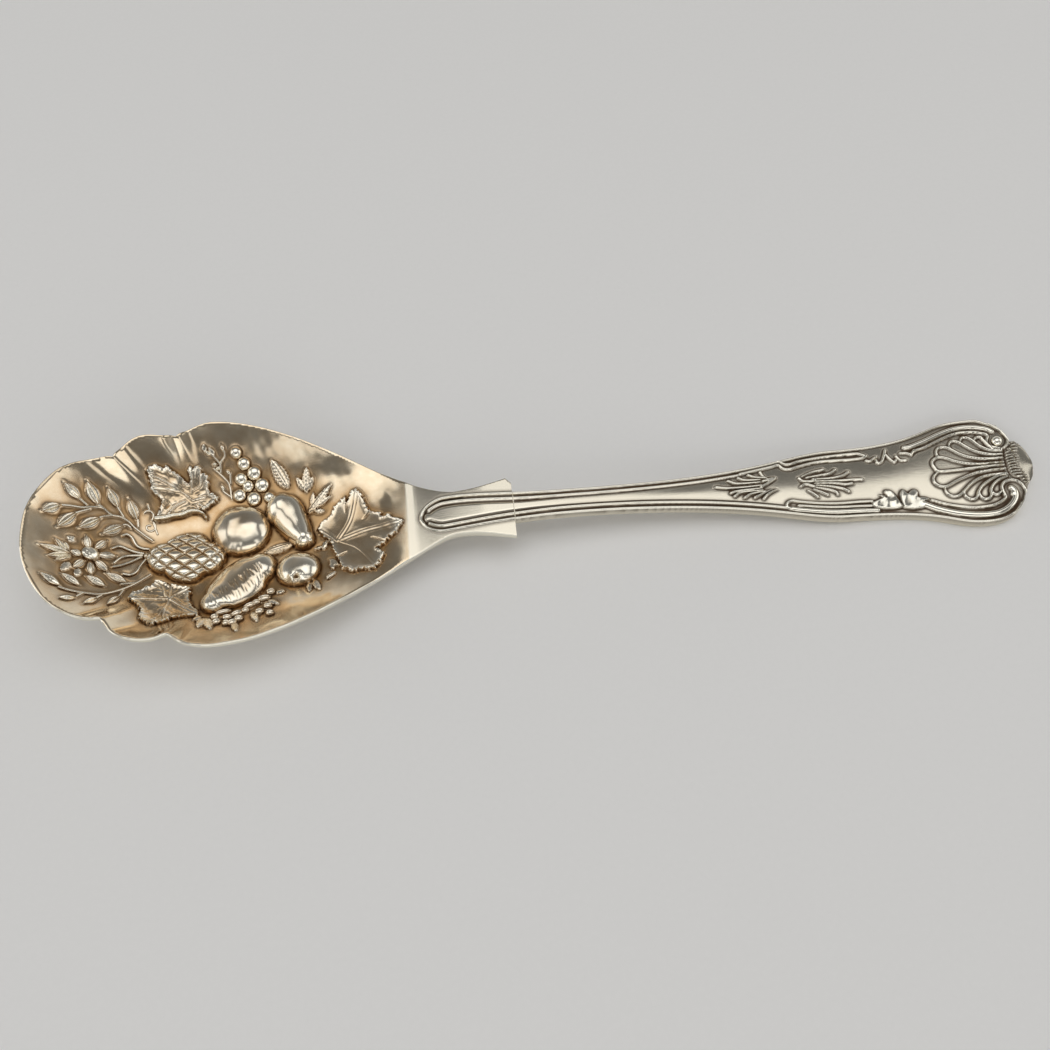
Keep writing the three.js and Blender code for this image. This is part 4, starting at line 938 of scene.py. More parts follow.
def strike_threads(relief, form, end):
    """Two threads along each side; the outer ones join in an arch on the shoulder plate."""
    height, width, pitch = (form.size[key] for key in ("thread_height", "thread_width", "thread_pitch"))
    arch_x = form.drop + np.linspace(0, 1, 24) ** 2 * 5
    edge_x = np.concatenate([arch_x, np.arange(form.drop + 5.3, end, 0.5), [end]])
    arch = np.vstack([np.column_stack([edge_x, form.reach(edge_x, 1)])[::-1],
                      np.column_stack([edge_x, form.near_thread(edge_x)])])
    window, distance, _ = relief.near(arch, 1.4)
    x, y = relief.places_in(window)
    within = (y < form.reach(x, 1)) & (y > form.near_thread(x)) & (x > form.drop)
    relief.lift(window, height * dome((distance - width / 2) / (width / 2), 0.5) * within)
    beside = bell(distance - width - 0.3, 0.26)
    relief.add(window, -(0.24 * beside * within * (x < min(end, OUTER_GROOVE_END))))
    for side, stop in INNER_THREAD_ENDS:
        inner_x = np.linspace(form.drop + 2.1, min(end, stop), 60)
        edge_y = form.half_width(inner_x) if side > 0 else form.near_thread(inner_x)
        line = np.column_stack([inner_x, edge_y - side * (width / 2 + pitch)])
        relief.wire(line, width * 0.92, height)
        window, distance, _ = relief.near(line, 1.4)
        x, _ = relief.places_in(window)
        plate = 1 - smooth_step(x, form.shoulder, form.shoulder + 14)
        beside = bell(distance - width / 2 - 0.16 - 0.16 * plate, 0.15 + 0.12 * plate)
        relief.add(window, -(0.14 + 0.1 * plate) * beside)


def strike_handle(form, view):
    """The relief of the handle: threads, loops, palmettes, leaves, scrolls and shell."""
    relief = Relief(form.drop - 1, form.end + 1, form.size["swell_half_width"] + 1)
    strike_threads(relief, form, form.end - 5)
    for width, height, taper, paths in STRUCK_LINES:
        for path in paths:
            relief.wire(view.curve(path, 0.2), width, height, taper, 0.45 if width > 0.5 else 1.0)
    for outline in STRUCK_LEAVES:
        window, x, y, depth = relief.inside(view.curve([*outline, outline[0]], 0.2, steps=4)[:-1])
        body = (0.5 + 0.05 * uneven(x, y, 2.2, 5)) * smooth_step(depth, -0.05, 0.26)
        relief.lift(window, np.where(depth > 0, body, 0))
    window, distance, _ = relief.near(view.curve(SHELL_GROOVE, 0.1), 1)
    notch = bell(distance, 0.24)
    relief.height[window] = relief.height[window] * (1 - notch) - 0.12 * notch
    relief.cover[window] *= 1 - notch
    pixel, radius, height = SCROLL_EYE
    relief.knob(view.place(pixel, 0.3), radius, height, power=0.5, reach=2)
    on_stem = smooth_step(relief.x, form.shoulder, form.shoulder + 5)[:, None]
    relief.height -= 0.17 * relief.softened(relief.cover, 0.18) * (1 - relief.cover) * on_stem
    relief.make_masks(sink=0.09, rise=0.14, foot_shade_share=2.3)
    return relief


def add_attribute(mesh, name, values, kind="FLOAT", key="value"):
    """Stores a number, or a vector, for every point of a mesh."""
    attribute = mesh.attributes.new(name, kind, "POINT")
    attribute.data.foreach_set(key, np.asarray(values, np.float32).ravel())


def linked_object(name, data):
    """A new object in the scene."""
    thing = bpy.data.objects.new(name, data)
    bpy.context.scene.collection.objects.link(thing)
    return thing


def mesh_object(name, points, faces, material, masks=None):
    """A mesh object at the origin, from points in millimetres and faces, with its masks."""
    mesh = bpy.data.meshes.new(name)
    mesh.from_pydata((np.asarray(points) * MM).tolist(), [], faces)
    for key, values in (masks or {}).items():
        add_attribute(mesh, key, values)
    mesh.materials.append(material)
    mesh.shade_smooth()
    mesh.update()
    return linked_object(name, mesh)


def resampled(points, spacing):
    """Evenly spaced points along a run of points, with its first and without its last."""
    points = np.asarray(points, float)
    along = run_along(points)
    count = max(1, round(along[-1] / spacing))
    places = np.linspace(0, along[-1], count, endpoint=False)
    return np.column_stack([np.interp(places, along, points[:, k]) for k in (0, 1)])


def bowl_outline(form, spacing):
    """The plan of the bowl and shoulder plate, anticlockwise, and the edge radius at each of its points."""
    near_x = np.linspace(form.plate_end, form.widest, 300)
    far_x = np.linspace(form.widest, form.plate_end - WING_CORNER, 300)
    stops = [90, *[notch[0] for notch in form.NOTCHES], 180]
    spans = list(zip(stops, stops[1:]))
    bearings = [(-low, -high) for low, high in spans] + [(high, low) for low, high in reversed(spans)]
    runs = [np.column_stack([near_x, -form.side(near_x)])]
    for first, last in bearings:
        angle = np.radians(np.linspace(first, last, 120))
        radius = form.rim(angle)
        runs.append(np.column_stack([form.widest + radius * np.cos(angle), radius * np.sin(angle)]))
    runs.append(np.column_stack([far_x, form.side(far_x)]))
    wing = float(form.side(form.plate_end))
    clipped = (form.plate_end, wing - 1.5 * WING_CORNER)
    runs.append([(form.plate_end - WING_CORNER, float(form.side(form.plate_end - WING_CORNER))), clipped])
    runs.append([clipped, (form.plate_end, -wing)])
    pieces = [resampled(run, spacing) for run in runs]
    outline = np.vstack(pieces)
    radius = np.where(outline[:, 0] > form.neck, PLATE_EDGE_RADIUS, RIM_RADIUS)
    radius[0] = radius[-len(pieces[-1]):] = BUTT_RADIUS
    return outline[::-1], radius[::-1]


def outward_normals(outline):
    """Directions out of an anticlockwise outline, in its plane."""
    tangent = np.roll(outline, -1, 0) - np.roll(outline, 1, 0)
    normal = np.column_stack([tangent[:, 1], -tangent[:, 0]])
    return normal / np.linalg.norm(normal, axis=1, keepdims=True)


def within_outline(outline, points):
    """Which points lie inside a closed outline."""
    inside = np.zeros(len(points), bool)
    for (x0, y0), (x1, y1) in zip(outline, np.roll(outline, -1, 0)):
        crosses = (y0 > points[:, 1]) != (y1 > points[:, 1])
        if crosses.any():
            at = x0 + (points[crosses, 1] - y0) / (y1 - y0) * (x1 - x0)
            inside[crosses] ^= points[crosses, 0] < at
    return inside


def inside_points(outline, spacing, wanted=None):
    """Points of an even grid inside an outline, where they are wanted, clear of the edge."""
    low, high = outline.min(0), outline.max(0)
    rows = np.arange(low[1], high[1], spacing * 0.866)
    x, y = np.meshgrid(np.arange(low[0], high[0], spacing), rows, indexing="ij")
    x = x + (np.arange(len(rows)) % 2) * spacing / 2
    points = np.column_stack([x.ravel(), y.ravel()])
    if wanted:
        points = points[wanted(*points.T)]
    points = points[within_outline(outline, points)]
    around = [(i, j) for i in (-1, 0, 1) for j in (-1, 0, 1)]
    near_cell = {}
    for k, (cell_x, cell_y) in enumerate(np.floor(outline).astype(int)):
        for i, j in around:
            near_cell.setdefault((cell_x + i, cell_y + j), []).append(k)
    distance = np.full(len(points), Relief.FAR_OFF)
    for k, cell in enumerate(np.floor(points).astype(int)):
        close = near_cell.get(tuple(cell))
        if close:
            distance[k] = np.hypot(*(outline[close] - points[k]).T).min()
    return points[distance > 0.6 * spacing]


def triangulated(outline, inner):
    """Triangles over an outline and the points inside it, anticlockwise, with the points in their order."""
    points = [Vector(p) for p in np.vstack([outline, inner])]
    edges = [(i, (i + 1) % len(outline)) for i in range(len(outline))]
    _, _, faces, origins, _, _ = delaunay_2d_cdt(points, edges, [], 1, 1e-6)
    back = [ids[0] for ids in origins]
    flat = np.array([tuple(p) for p in points])
    corners = np.array([[back[k] for k in face] for face in faces])
    a, b, c = (flat[corners[:, k]] for k in range(3))
    turn = (b[:, 0] - a[:, 0]) * (c[:, 1] - a[:, 1]) - (b[:, 1] - a[:, 1]) * (c[:, 0] - a[:, 0])
    corners[turn < 0] = corners[turn < 0][:, [0, 2, 1]]
    return flat, corners.tolist()


def skin(starts, count, downwards):
    """Faces between closed rings of points that follow one another downwards, or along the piece."""
    faces = []
    for here, there in zip(starts, starts[1:]):
        for i in range(count):
            j = (i + 1) % count
            others = (there + i, there + j, here + j)
            faces.append((here + i, *(others if downwards else others[::-1])))
    return faces


def bowl_front(form, relief, edge):
    """The chased front of the bowl: its points, closer together where there is work, and its faces."""
    busy = relief.softened(relief.cover, 0.45)

    def on_sheet(x):
        """Whether places lie on the bowl, before the shoulder plate."""
        return x <= form.neck + 1

    def worked(x, y):
        """Whether places lie on chased work or beside it."""
        return relief.sample(busy, x, y) > 0.03

    plan, faces = triangulated(edge, np.vstack([
        inside_points(edge, WORKED_SPACING, lambda x, y: on_sheet(x) & worked(x, y)),
        inside_points(edge, PLAIN_SPACING, lambda x, y: on_sheet(x) & ~worked(x, y)),
        inside_points(edge, PLATE_SPACING, lambda x, y: ~on_sheet(x))]))
    x, y = plan.T
    front = np.column_stack([plan, form.front(x, y) + relief.sample(relief.height, x, y)])
    front[:, 2] = np.minimum(front[:, 2], BOWL_BOX[1][2] / MM - 0.01)
    return front, faces


def bowl_back(form, relief, edge):
    """The back of the bowl, with soft hollows behind the raised work: its points and its faces."""
    gauge = form.size["sheet_gauge"]
    plan, faces = triangulated(edge, inside_points(edge, BACK_SPACING))
    x, y = plan.T
    hollow = relief.sample(relief.softened(np.maximum(0, relief.height), 0.9), x, y) * 0.55
    hollow = np.minimum(hollow, gauge - 0.5 + relief.sample(relief.height, x, y)) * (x < form.neck - 3)
    thickness = np.minimum(gauge / form.normal(x, y)[:, 2], 1.35)
    share = form.plate_share(x)
    under = (form.front(x, y) - thickness + hollow) * (1 - share) + form.lap(x) * share
    return np.column_stack([plan, np.maximum(under, 0.0)]), faces


def bowl_rim(front, back, out, inset):
    """Rings of points round the edge of the sheet, from the rim of its front down to the rim of its back."""
    thickness = (front[:, 2] - back[:, 2])[:, None]
    if thickness.min() < 2 * inset.min():
        raise RuntimeError("the rim of the bowl is too thin for its rounding")
    down = np.array([0, 0, -1.0])
    sideways = np.column_stack([out, np.zeros(len(out))])
    radius = np.minimum(inset[:, None], 0.45 * thickness)
    rings = []
    for step, turn in enumerate(np.radians([30, 60, 90, 90, 120, 150])):
        upper, lower = radius * (1 - math.cos(turn)), thickness - radius * (1 + math.cos(turn))
        rings.append(front + down * (upper if step < 3 else lower) + sideways * radius * math.sin(turn))
    return rings


def build_bowl(form, relief, material):
    """The chased sheet with its shoulder plate: front, rounded rim and back in one closed skin."""
    outline, radius = bowl_outline(form, OUTLINE_SPACING)
    out = outward_normals(outline)
    inset = np.convolve(np.concatenate([radius[-2:], radius, radius[:2]]), np.ones(5) / 5, "valid")
    edge = outline - out * inset[:, None]
    front, faces = bowl_front(form, relief, edge)
    back, back_faces = bowl_back(form, relief, edge)
    count = len(outline)
    rings = bowl_rim(front[:count], back[:count], out, inset)
    points = np.vstack([front, *rings, back])
    front_count, back_start = len(front), len(points) - len(back)
    faces += skin([0, *range(front_count, back_start + 1, count)], count, downwards=True)
    faces += [(back_start + a, back_start + c, back_start + b) for a, b, c in back_faces]

    masks = {key: np.zeros(len(points)) for key in MASKS}
    x, y = front[:, 0], front[:, 1]
    # Painted shade from the relief: the recess mask, partly patina, and the shade mask, partly a deeper
    # matted gilding
    masks["recess"][:front_count] = relief.sample(relief.recess, x, y)
    masks["worn"][:front_count] = relief.sample(relief.worn, x, y)
    masks["worn"][front_count:back_start] = 1.0
    masks["gilt"][:front_count] = smooth_step(-x, -form.neck - 0.7, -form.neck - 0.3)
    masks["shade"][:front_count] = relief.sample(relief.shade, x, y) * (x < form.neck)
    return mesh_object("chased_bowl", points, faces, material, masks)


def handle_section(form, relief, x, lapped):
    """Points round the handle at x, across its top and back under it, and how many are on its top."""
    half = float(form.half_width(x))
    far = half + float(form.bulge(x))
    scale = min(1.0, half / float(form.half_width(form.shoulder)))
    flank = np.concatenate([[0.0, 0.05], np.arange(0.15, 2.2, 0.12)]) * scale
    inner = np.linspace(flank[-1] - half, far - flank[-1], MIDDLE_COUNT)[1:-1]
    across = np.concatenate([flank - half, inner, far - flank[::-1]])
    inside = np.minimum(far - across, half + across)
    across = across + form.lean(x)
    along = np.full(across.shape, x)
    if lapped:
        top = np.full(across.shape, min(form.lap(x) - form.SOLDER, float(form.ground(x, 0))))
    else:
        relief_height = relief.sample(relief.height, along, across)
        top = form.ground(along, across) + relief_height * smooth_step(inside, -0.02, 0.1)
        top[[0, -1]] -= 0.1
    low = float(form.under(x))
    edge_low = max(low + 0.3, float(form.top(x)) - form.size["thread_height"] - 1.5)
    edge_low = min(edge_low, top[0] - 0.1)
    sole_share = 0.5 + 0.5 * float(smooth_step(x, form.stem_waist, form.flat))
    sole = max(0.5 * half, sole_share * half - 0.35 * scale)
    turn = np.linspace(0, math.pi / 2, SIDE_COUNT)
    near_y, far_y = (sole + (edge - sole) * np.cos(turn) ** 0.8 for edge in (half, far))
    side_z = low + (edge_low - low) * (1 - np.sin(turn)) ** 0.9
    sole_y = np.linspace(sole, -sole, SIDE_COUNT)[1:-1]
    under_y = np.concatenate([far_y, sole_y, -near_y[::-1]]) + form.lean(x)
    y = np.concatenate([across, under_y])
    z = np.concatenate([top, side_z, np.full(len(sole_y), low), side_z[::-1]])
    return np.column_stack([np.full(len(y), x), y, z]), len(across)


def build_handle(form, relief, material):
    """The stem and terminal, with the tongue that is lapped under the shoulder plate."""
    tongue = np.linspace(form.drop, form.shoulder, 50)
    stem = np.arange(form.shoulder, TERMINAL_DETAIL_START, STEM_SPACING)
    terminal = np.arange(TERMINAL_DETAIL_START, form.end - NOSE_LENGTH, TERMINAL_SPACING)
    nose = form.end - NOSE_LENGTH * (1 - np.linspace(0, 1, 14)) ** 1.6
    stations = np.concatenate([tongue, stem, terminal, nose])
    sections = [handle_section(form, relief, x, k < len(tongue)) for k, x in enumerate(stations)]
    rows = [points for points, _ in sections]
    width, top_count = len(rows[0]), sections[0][1]
    points = np.vstack(rows)
    faces = skin(range(0, len(points), width), width, downwards=False)
    for start, first_end in ((0, True), (len(points) - width, False)):
        centre = len(points)
        points = np.vstack([points, points[start:start + width].mean(0)])
        for i in range(width):
            pair = (start + i, start + (i + 1) % width)
            faces.append((centre, *(pair[::-1] if first_end else pair)))
    x, y = points[:, 0], points[:, 1]
    on_top = np.zeros(len(points), bool)
    for k in range(len(tongue), len(rows)):
        on_top[k * width:k * width + top_count] = True
    masks = {key: np.zeros(len(points)) for key in MASKS}
    # Painted shade, partly patina: the recess mask darkens the struck lines and the foot of raised work
    masks["recess"] = np.where(on_top, relief.sample(relief.recess, x, y), 0.0)
    masks["worn"] = np.where(on_top, relief.sample(relief.worn, x, y), 0.25)
    return mesh_object("struck_handle", points, faces, material, masks)


def add_socket(tree, name, kind, side="INPUT", default=None):
    """A socket of a node group; returns its identifier."""
    socket = tree.interface.new_socket(name=name, in_out=side, socket_type=kind)
    if default is not None:
        socket.default_value = default
    return socket.identifier


def add_node(tree, kind, inputs=None, **settings):
    """A node with its settings, and with values or links for its inputs."""
    node = tree.nodes.new(kind)
    for key, value in settings.items():
        setattr(node, key, value)
    for key, value in (inputs or {}).items():
        if isinstance(value, bpy.types.NodeSocket):
            tree.links.new(value, node.inputs[key])
        else:
            node.inputs[key].default_value = value
    return node


def calc(tree, operation, *values, clamp=False):
    """The result of one step of arithmetic."""
    node = add_node(tree, "ShaderNodeMath", dict(enumerate(values)), operation=operation, use_clamp=clamp)
    return node.outputs[0]


def mixed(tree, share, first, second):
    """A colour between two others."""
    return add_node(tree, "ShaderNodeMix", {0: share, 6: first, 7: second}, data_type="RGBA").outputs[2]


def bell_node(tree, value, middle, width):
    """1 where a value is at its middle, falling smoothly on both sides."""
    off = calc(tree, "DIVIDE", calc(tree, "SUBTRACT", value, middle), width)
    return calc(tree, "EXPONENT", calc(tree, "MULTIPLY", calc(tree, "MULTIPLY", off, off), -1.0))


def finished_geometry(tree, geometry, finish):
    """Ends a Geometry Nodes tree with real, smooth geometry in its material."""
    real = add_node(tree, "GeometryNodeRealizeInstances", {0: geometry})
    smooth = add_node(tree, "GeometryNodeSetShadeSmooth", {0: real.outputs[0]})
    painted = add_node(tree, "GeometryNodeSetMaterial", {"Geometry": smooth.outputs[0], "Material": finish})
    add_socket(tree, "Mesh", "NodeSocketGeometry", "OUTPUT")
    add_node(tree, "NodeGroupOutput", {0: painted.outputs[0]})


def raised_form_tree():
    """Geometry Nodes: one rounded form on each point, drawn out to sharp ends, cupped, folded or toothed."""
    tree = bpy.data.node_groups.new("Raised forms", "GeometryNodeTree")
    names = {}
    add_socket(tree, "Points", "NodeSocketGeometry")
    for name, default in (("Sharpness", 0.0), ("Cup depth", 0.0), ("Fold depth", 0.0), ("Fold width", 0.2),
                          ("Tooth depth", 0.0), ("Tooth rate", 20.0)):
        names[name] = add_socket(tree, name, "NodeSocketFloat", default=default)
    names["Facets round"] = add_socket(tree, "Facets round", "NodeSocketInt", default=24)
    names["Finish"] = add_socket(tree, "Finish", "NodeSocketMaterial")
    given = add_node(tree, "NodeGroupInput").outputs
    rings = calc(tree, "MULTIPLY", given["Facets round"], 0.8)
    ball = add_node(tree, "GeometryNodeMeshUVSphere", {
        "Segments": given["Facets round"], "Rings": rings, "Radius": 1.0})
    place = add_node(tree, "GeometryNodeInputPosition").outputs[0]
    x, y, z = add_node(tree, "ShaderNodeSeparateXYZ", {0: place}).outputs
    out = calc(tree, "POWER", calc(tree, "ABSOLUTE", x), 1.6)
    narrow = calc(tree, "SUBTRACT", 1.0, calc(tree, "MULTIPLY", out, given["Sharpness"]))
    wave = calc(tree, "SINE", calc(tree, "MULTIPLY", x, given["Tooth rate"]))
    teeth = calc(tree, "MULTIPLY_ADD", wave, given["Tooth depth"], 1.0)
    heavier = calc(tree, "MULTIPLY_ADD", calc(tree, "MULTIPLY", x, given["Sharpness"]), -0.22, 1.0)
    new_y = calc(tree, "MULTIPLY", calc(tree, "MULTIPLY", y, narrow), calc(tree, "MULTIPLY", teeth, heavier))
    room = calc(tree, "MAXIMUM", calc(tree, "SUBTRACT", 1.0, calc(tree, "MULTIPLY", x, x)), 0.02)
    aside = calc(tree, "DIVIDE", calc(tree, "ABSOLUTE", y), calc(tree, "SQRT", room))
    cup = calc(tree, "MULTIPLY", bell_node(tree, aside, 0.5, 0.26), given["Cup depth"])
    fold = calc(tree, "MULTIPLY", bell_node(tree, aside, 0.0, given["Fold width"]), given["Fold depth"])
    left = calc(tree, "SUBTRACT", calc(tree, "SUBTRACT", 1.0, cup), fold)
    # The half that is hidden in the sheet is shallower, so that it stays clear of the back of the bowl
    depth = calc(tree, "MULTIPLY_ADD", calc(tree, "LESS_THAN", z, 0.0), -0.45, 1.0)
    height = calc(tree, "MULTIPLY", z, calc(tree, "MULTIPLY", left, depth))
    moved = add_node(tree, "ShaderNodeCombineXYZ", {0: x, 1: new_y, 2: height})
    shaped = add_node(tree, "GeometryNodeSetPosition", {
        "Geometry": ball.outputs[0], "Position": moved.outputs[0]})
    turn, spread = (
        add_node(tree, "GeometryNodeInputNamedAttribute", {"Name": name}, data_type="FLOAT_VECTOR").outputs[0]
        for name in ("turn", "spread"))
    rotation = add_node(tree, "FunctionNodeEulerToRotation", {0: turn})
    copies = add_node(tree, "GeometryNodeInstanceOnPoints", {
        "Points": given["Points"], "Instance": shaped.outputs[0], "Rotation": rotation.outputs[0],
        "Scale": spread})
    finished_geometry(tree, copies.outputs[0], given["Finish"])
    return tree, names


def wire_tree():
    """Geometry Nodes: a round wire along each curve, as thick as the curve's own radius says."""
    tree = bpy.data.node_groups.new("Raised wires", "GeometryNodeTree")
    names = {}
    add_socket(tree, "Curves", "NodeSocketGeometry")
    names["Thickness"] = add_socket(tree, "Thickness", "NodeSocketFloat", default=0.0002)
    names["Facets round"] = add_socket(tree, "Facets round", "NodeSocketInt", default=10)
    names["Finish"] = add_socket(tree, "Finish", "NodeSocketMaterial")
    given = add_node(tree, "NodeGroupInput").outputs
    section = add_node(tree, "GeometryNodeCurvePrimitiveCircle", {
        "Resolution": given["Facets round"], "Radius": given["Thickness"]})
    swept = add_node(tree, "GeometryNodeCurveToMesh", {
        "Curve": given["Curves"], "Profile Curve": section.outputs[0], "Fill Caps": True})
    finished_geometry(tree, swept.outputs[0], given["Finish"])
    return tree, names


def node_result(source, tree, names, values, name):
    """Runs a Geometry Nodes tree on an object, and puts the plain mesh that it makes in its place."""
    bpy.context.scene.collection.objects.link(source)
    modifier = source.modifiers.new("Form", "NODES")
    modifier.node_group = tree
    for key, value in values.items():
        modifier[names[key]] = value
    bpy.context.view_layer.update()
    graph = bpy.context.evaluated_depsgraph_get()
    mesh = bpy.data.meshes.new_from_object(source.evaluated_get(graph))
    source.modifiers.remove(modifier)
    bpy.data.objects.remove(source)
    mesh.name = name
    if not mesh.polygons:
        raise RuntimeError(f"{name}: the node tree made nothing")
    return linked_object(name, mesh)


def mask_forms(thing, form, sink, gilt):
    """Gives raised forms the masks of the sheet that they stand on: painted shade at the foot, where they
    meet the sheet, and rubbed on top.
    """
    mesh = thing.data
    points = np.empty(len(mesh.vertices) * 3)
    mesh.vertices.foreach_get("co", points)
    x, y, z = points.reshape(-1, 3).T / MM
    above = z - form.surface(x, y)
    # Painted shade: the recess mask is full where a form meets the sheet and fades with height; a little of
    # the shade mask is added too
    masks = (np.clip(1 - (above - 0.02) / sink, 0, 1), np.clip((above - 0.8 * sink) / sink, 0, 1),
             np.full(len(z), gilt), np.full(len(z), 0.3 * gilt))
    for key, values in zip(MASKS, masks):
        add_attribute(mesh, key, values)


def placed_points(form, places):
    """Points for raised forms, from places of the plan given as start, end, width and height."""
    spots, turns, spreads = [], [], []
    for start, end, width, height in places:
        first, last = form.laid([start, end])
        along = Vector(last - first)
        middle = (first[:2] + last[:2]) / 2
        up = Vector(form.normal(*middle))
        across = up.cross(along).normalized()
        up = along.cross(across).normalized()
        matrix = Matrix((along.normalized(), across, up)).transposed()
        spots.append((*middle * MM, float(form.surface(*middle)) * MM))
        turns.append(tuple(matrix.to_euler()))
        spreads.append((along.length / 2 * MM, width / 2 * MM, height * MM))
    mesh = bpy.data.meshes.new("places")
    mesh.from_pydata(spots, [], [])
    for name, values in (("turn", turns), ("spread", spreads)):
        add_attribute(mesh, name, values, "FLOAT_VECTOR", "vector")
    return bpy.data.objects.new("places", mesh)


def laid_curves(form, paths, lift):
    """A curve object with one line for each plan path of (points, start radius, end radius)."""
    curve = bpy.data.curves.new("lines", "CURVE")
    curve.dimensions = "3D"
    for path, first, last in paths:
        points = form.laid(path)
        points[:, 2] += lift
        spline = curve.splines.new("POLY")
        spline.points.add(len(points) - 1)
        for point, place, radius in zip(spline.points, points, np.linspace(first, last, len(points))):
            point.co = (*(place * MM), 1)
            point.radius = radius
    return bpy.data.objects.new("lines", curve)


def oval(centre, turn, size):
    """Start, end, width and height of an oval form."""
    reach = np.array([math.cos(math.radians(turn)), math.sin(math.radians(turn))]) * size[0] / 2
    return centre - reach, centre + reach, size[1], size[2]


def scratch_group():
    """Fine polishing marks: a height for bump and a mask for roughness."""
    tree = bpy.data.node_groups.new("Polishing marks", "ShaderNodeTree")
    add_socket(tree, "Vector", "NodeSocketVector")
    add_socket(tree, "Height", "NodeSocketFloat", "OUTPUT")
    add_socket(tree, "Mask", "NodeSocketFloat", "OUTPUT")
    place = add_node(tree, "NodeGroupInput").outputs["Vector"]
    marks = []
    for turn, stretch in ((0.35, (260, 9000, 900)), (-0.9, (220, 8000, 900)), (1.5, (300, 7000, 900))):
        spun = add_node(tree, "ShaderNodeMapping", {
            "Vector": place, "Rotation": (0, 0, turn), "Scale": stretch})
        noise = add_node(tree, "ShaderNodeTexNoise", {"Vector": spun.outputs[0], "Scale": 1.0, "Detail": 2.0})
        marks.append(calc(tree, "POWER", noise.outputs[0], 3.0))
    total = calc(tree, "ADD", calc(tree, "ADD", marks[0], marks[1]), marks[2])
    cloud = add_node(tree, "ShaderNodeTexNoise", {"Vector": place, "Scale": 90.0, "Detail": 5.0})
    add_node(tree, "NodeGroupOutput", {"Height": total, "Mask": cloud.outputs[0]})
    return tree


def age_and_shade_group():
    """Colour and roughness of old metal, from where it is sunk, rubbed and clouded; the dark colour where it
    is sunk is partly patina and partly painted shade.
    """
    tree = bpy.data.node_groups.new("Aged metal and painted shade", "ShaderNodeTree")
    for name in ("Metal", "Rubbed", "Dark"):
        add_socket(tree, name, "NodeSocketColor")
    for name, default in (("Recess", 0.0), ("Worn", 0.0), ("Cloud", 0.5), ("Smooth", 0.2), ("Dull", 0.5)):
        add_socket(tree, name, "NodeSocketFloat", default=default)
    add_socket(tree, "Color", "NodeSocketColor", "OUTPUT")
    add_socket(tree, "Roughness", "NodeSocketFloat", "OUTPUT")
    given = add_node(tree, "NodeGroupInput").outputs
    clouded = calc(tree, "MULTIPLY_ADD", given["Cloud"], 0.5, 0.75)
    rubbed = calc(tree, "MULTIPLY", given["Worn"], clouded, clamp=True)
    # Painted shade, partly patina: the dark colour is laid where the recess mask is high
    sunk = calc(tree, "MULTIPLY", given["Recess"], clouded, clamp=True)
    tone = mixed(tree, sunk, mixed(tree, rubbed, given["Metal"], given["Rubbed"]), given["Dark"])
    spread = calc(tree, "SUBTRACT", given["Dull"], given["Smooth"])
    amount = calc(tree, "ADD", sunk, calc(tree, "MULTIPLY", calc(tree, "SUBTRACT", given["Cloud"], 0.5), 0.3))
    rough = calc(tree, "MULTIPLY_ADD", amount, spread, given["Smooth"])
    add_node(tree, "NodeGroupOutput", {"Color": tone, "Roughness": calc(tree, "MAXIMUM", rough, 0.06)})
    return tree


def rgba(value, factor=1.0):
    """A colour with full alpha, made lighter or darker by a factor."""
    return (*(channel * factor for channel in value), 1.0)


def shared_group(name, build):
    """A node group that is built once and then used again."""
    return bpy.data.node_groups.get(name) or build()


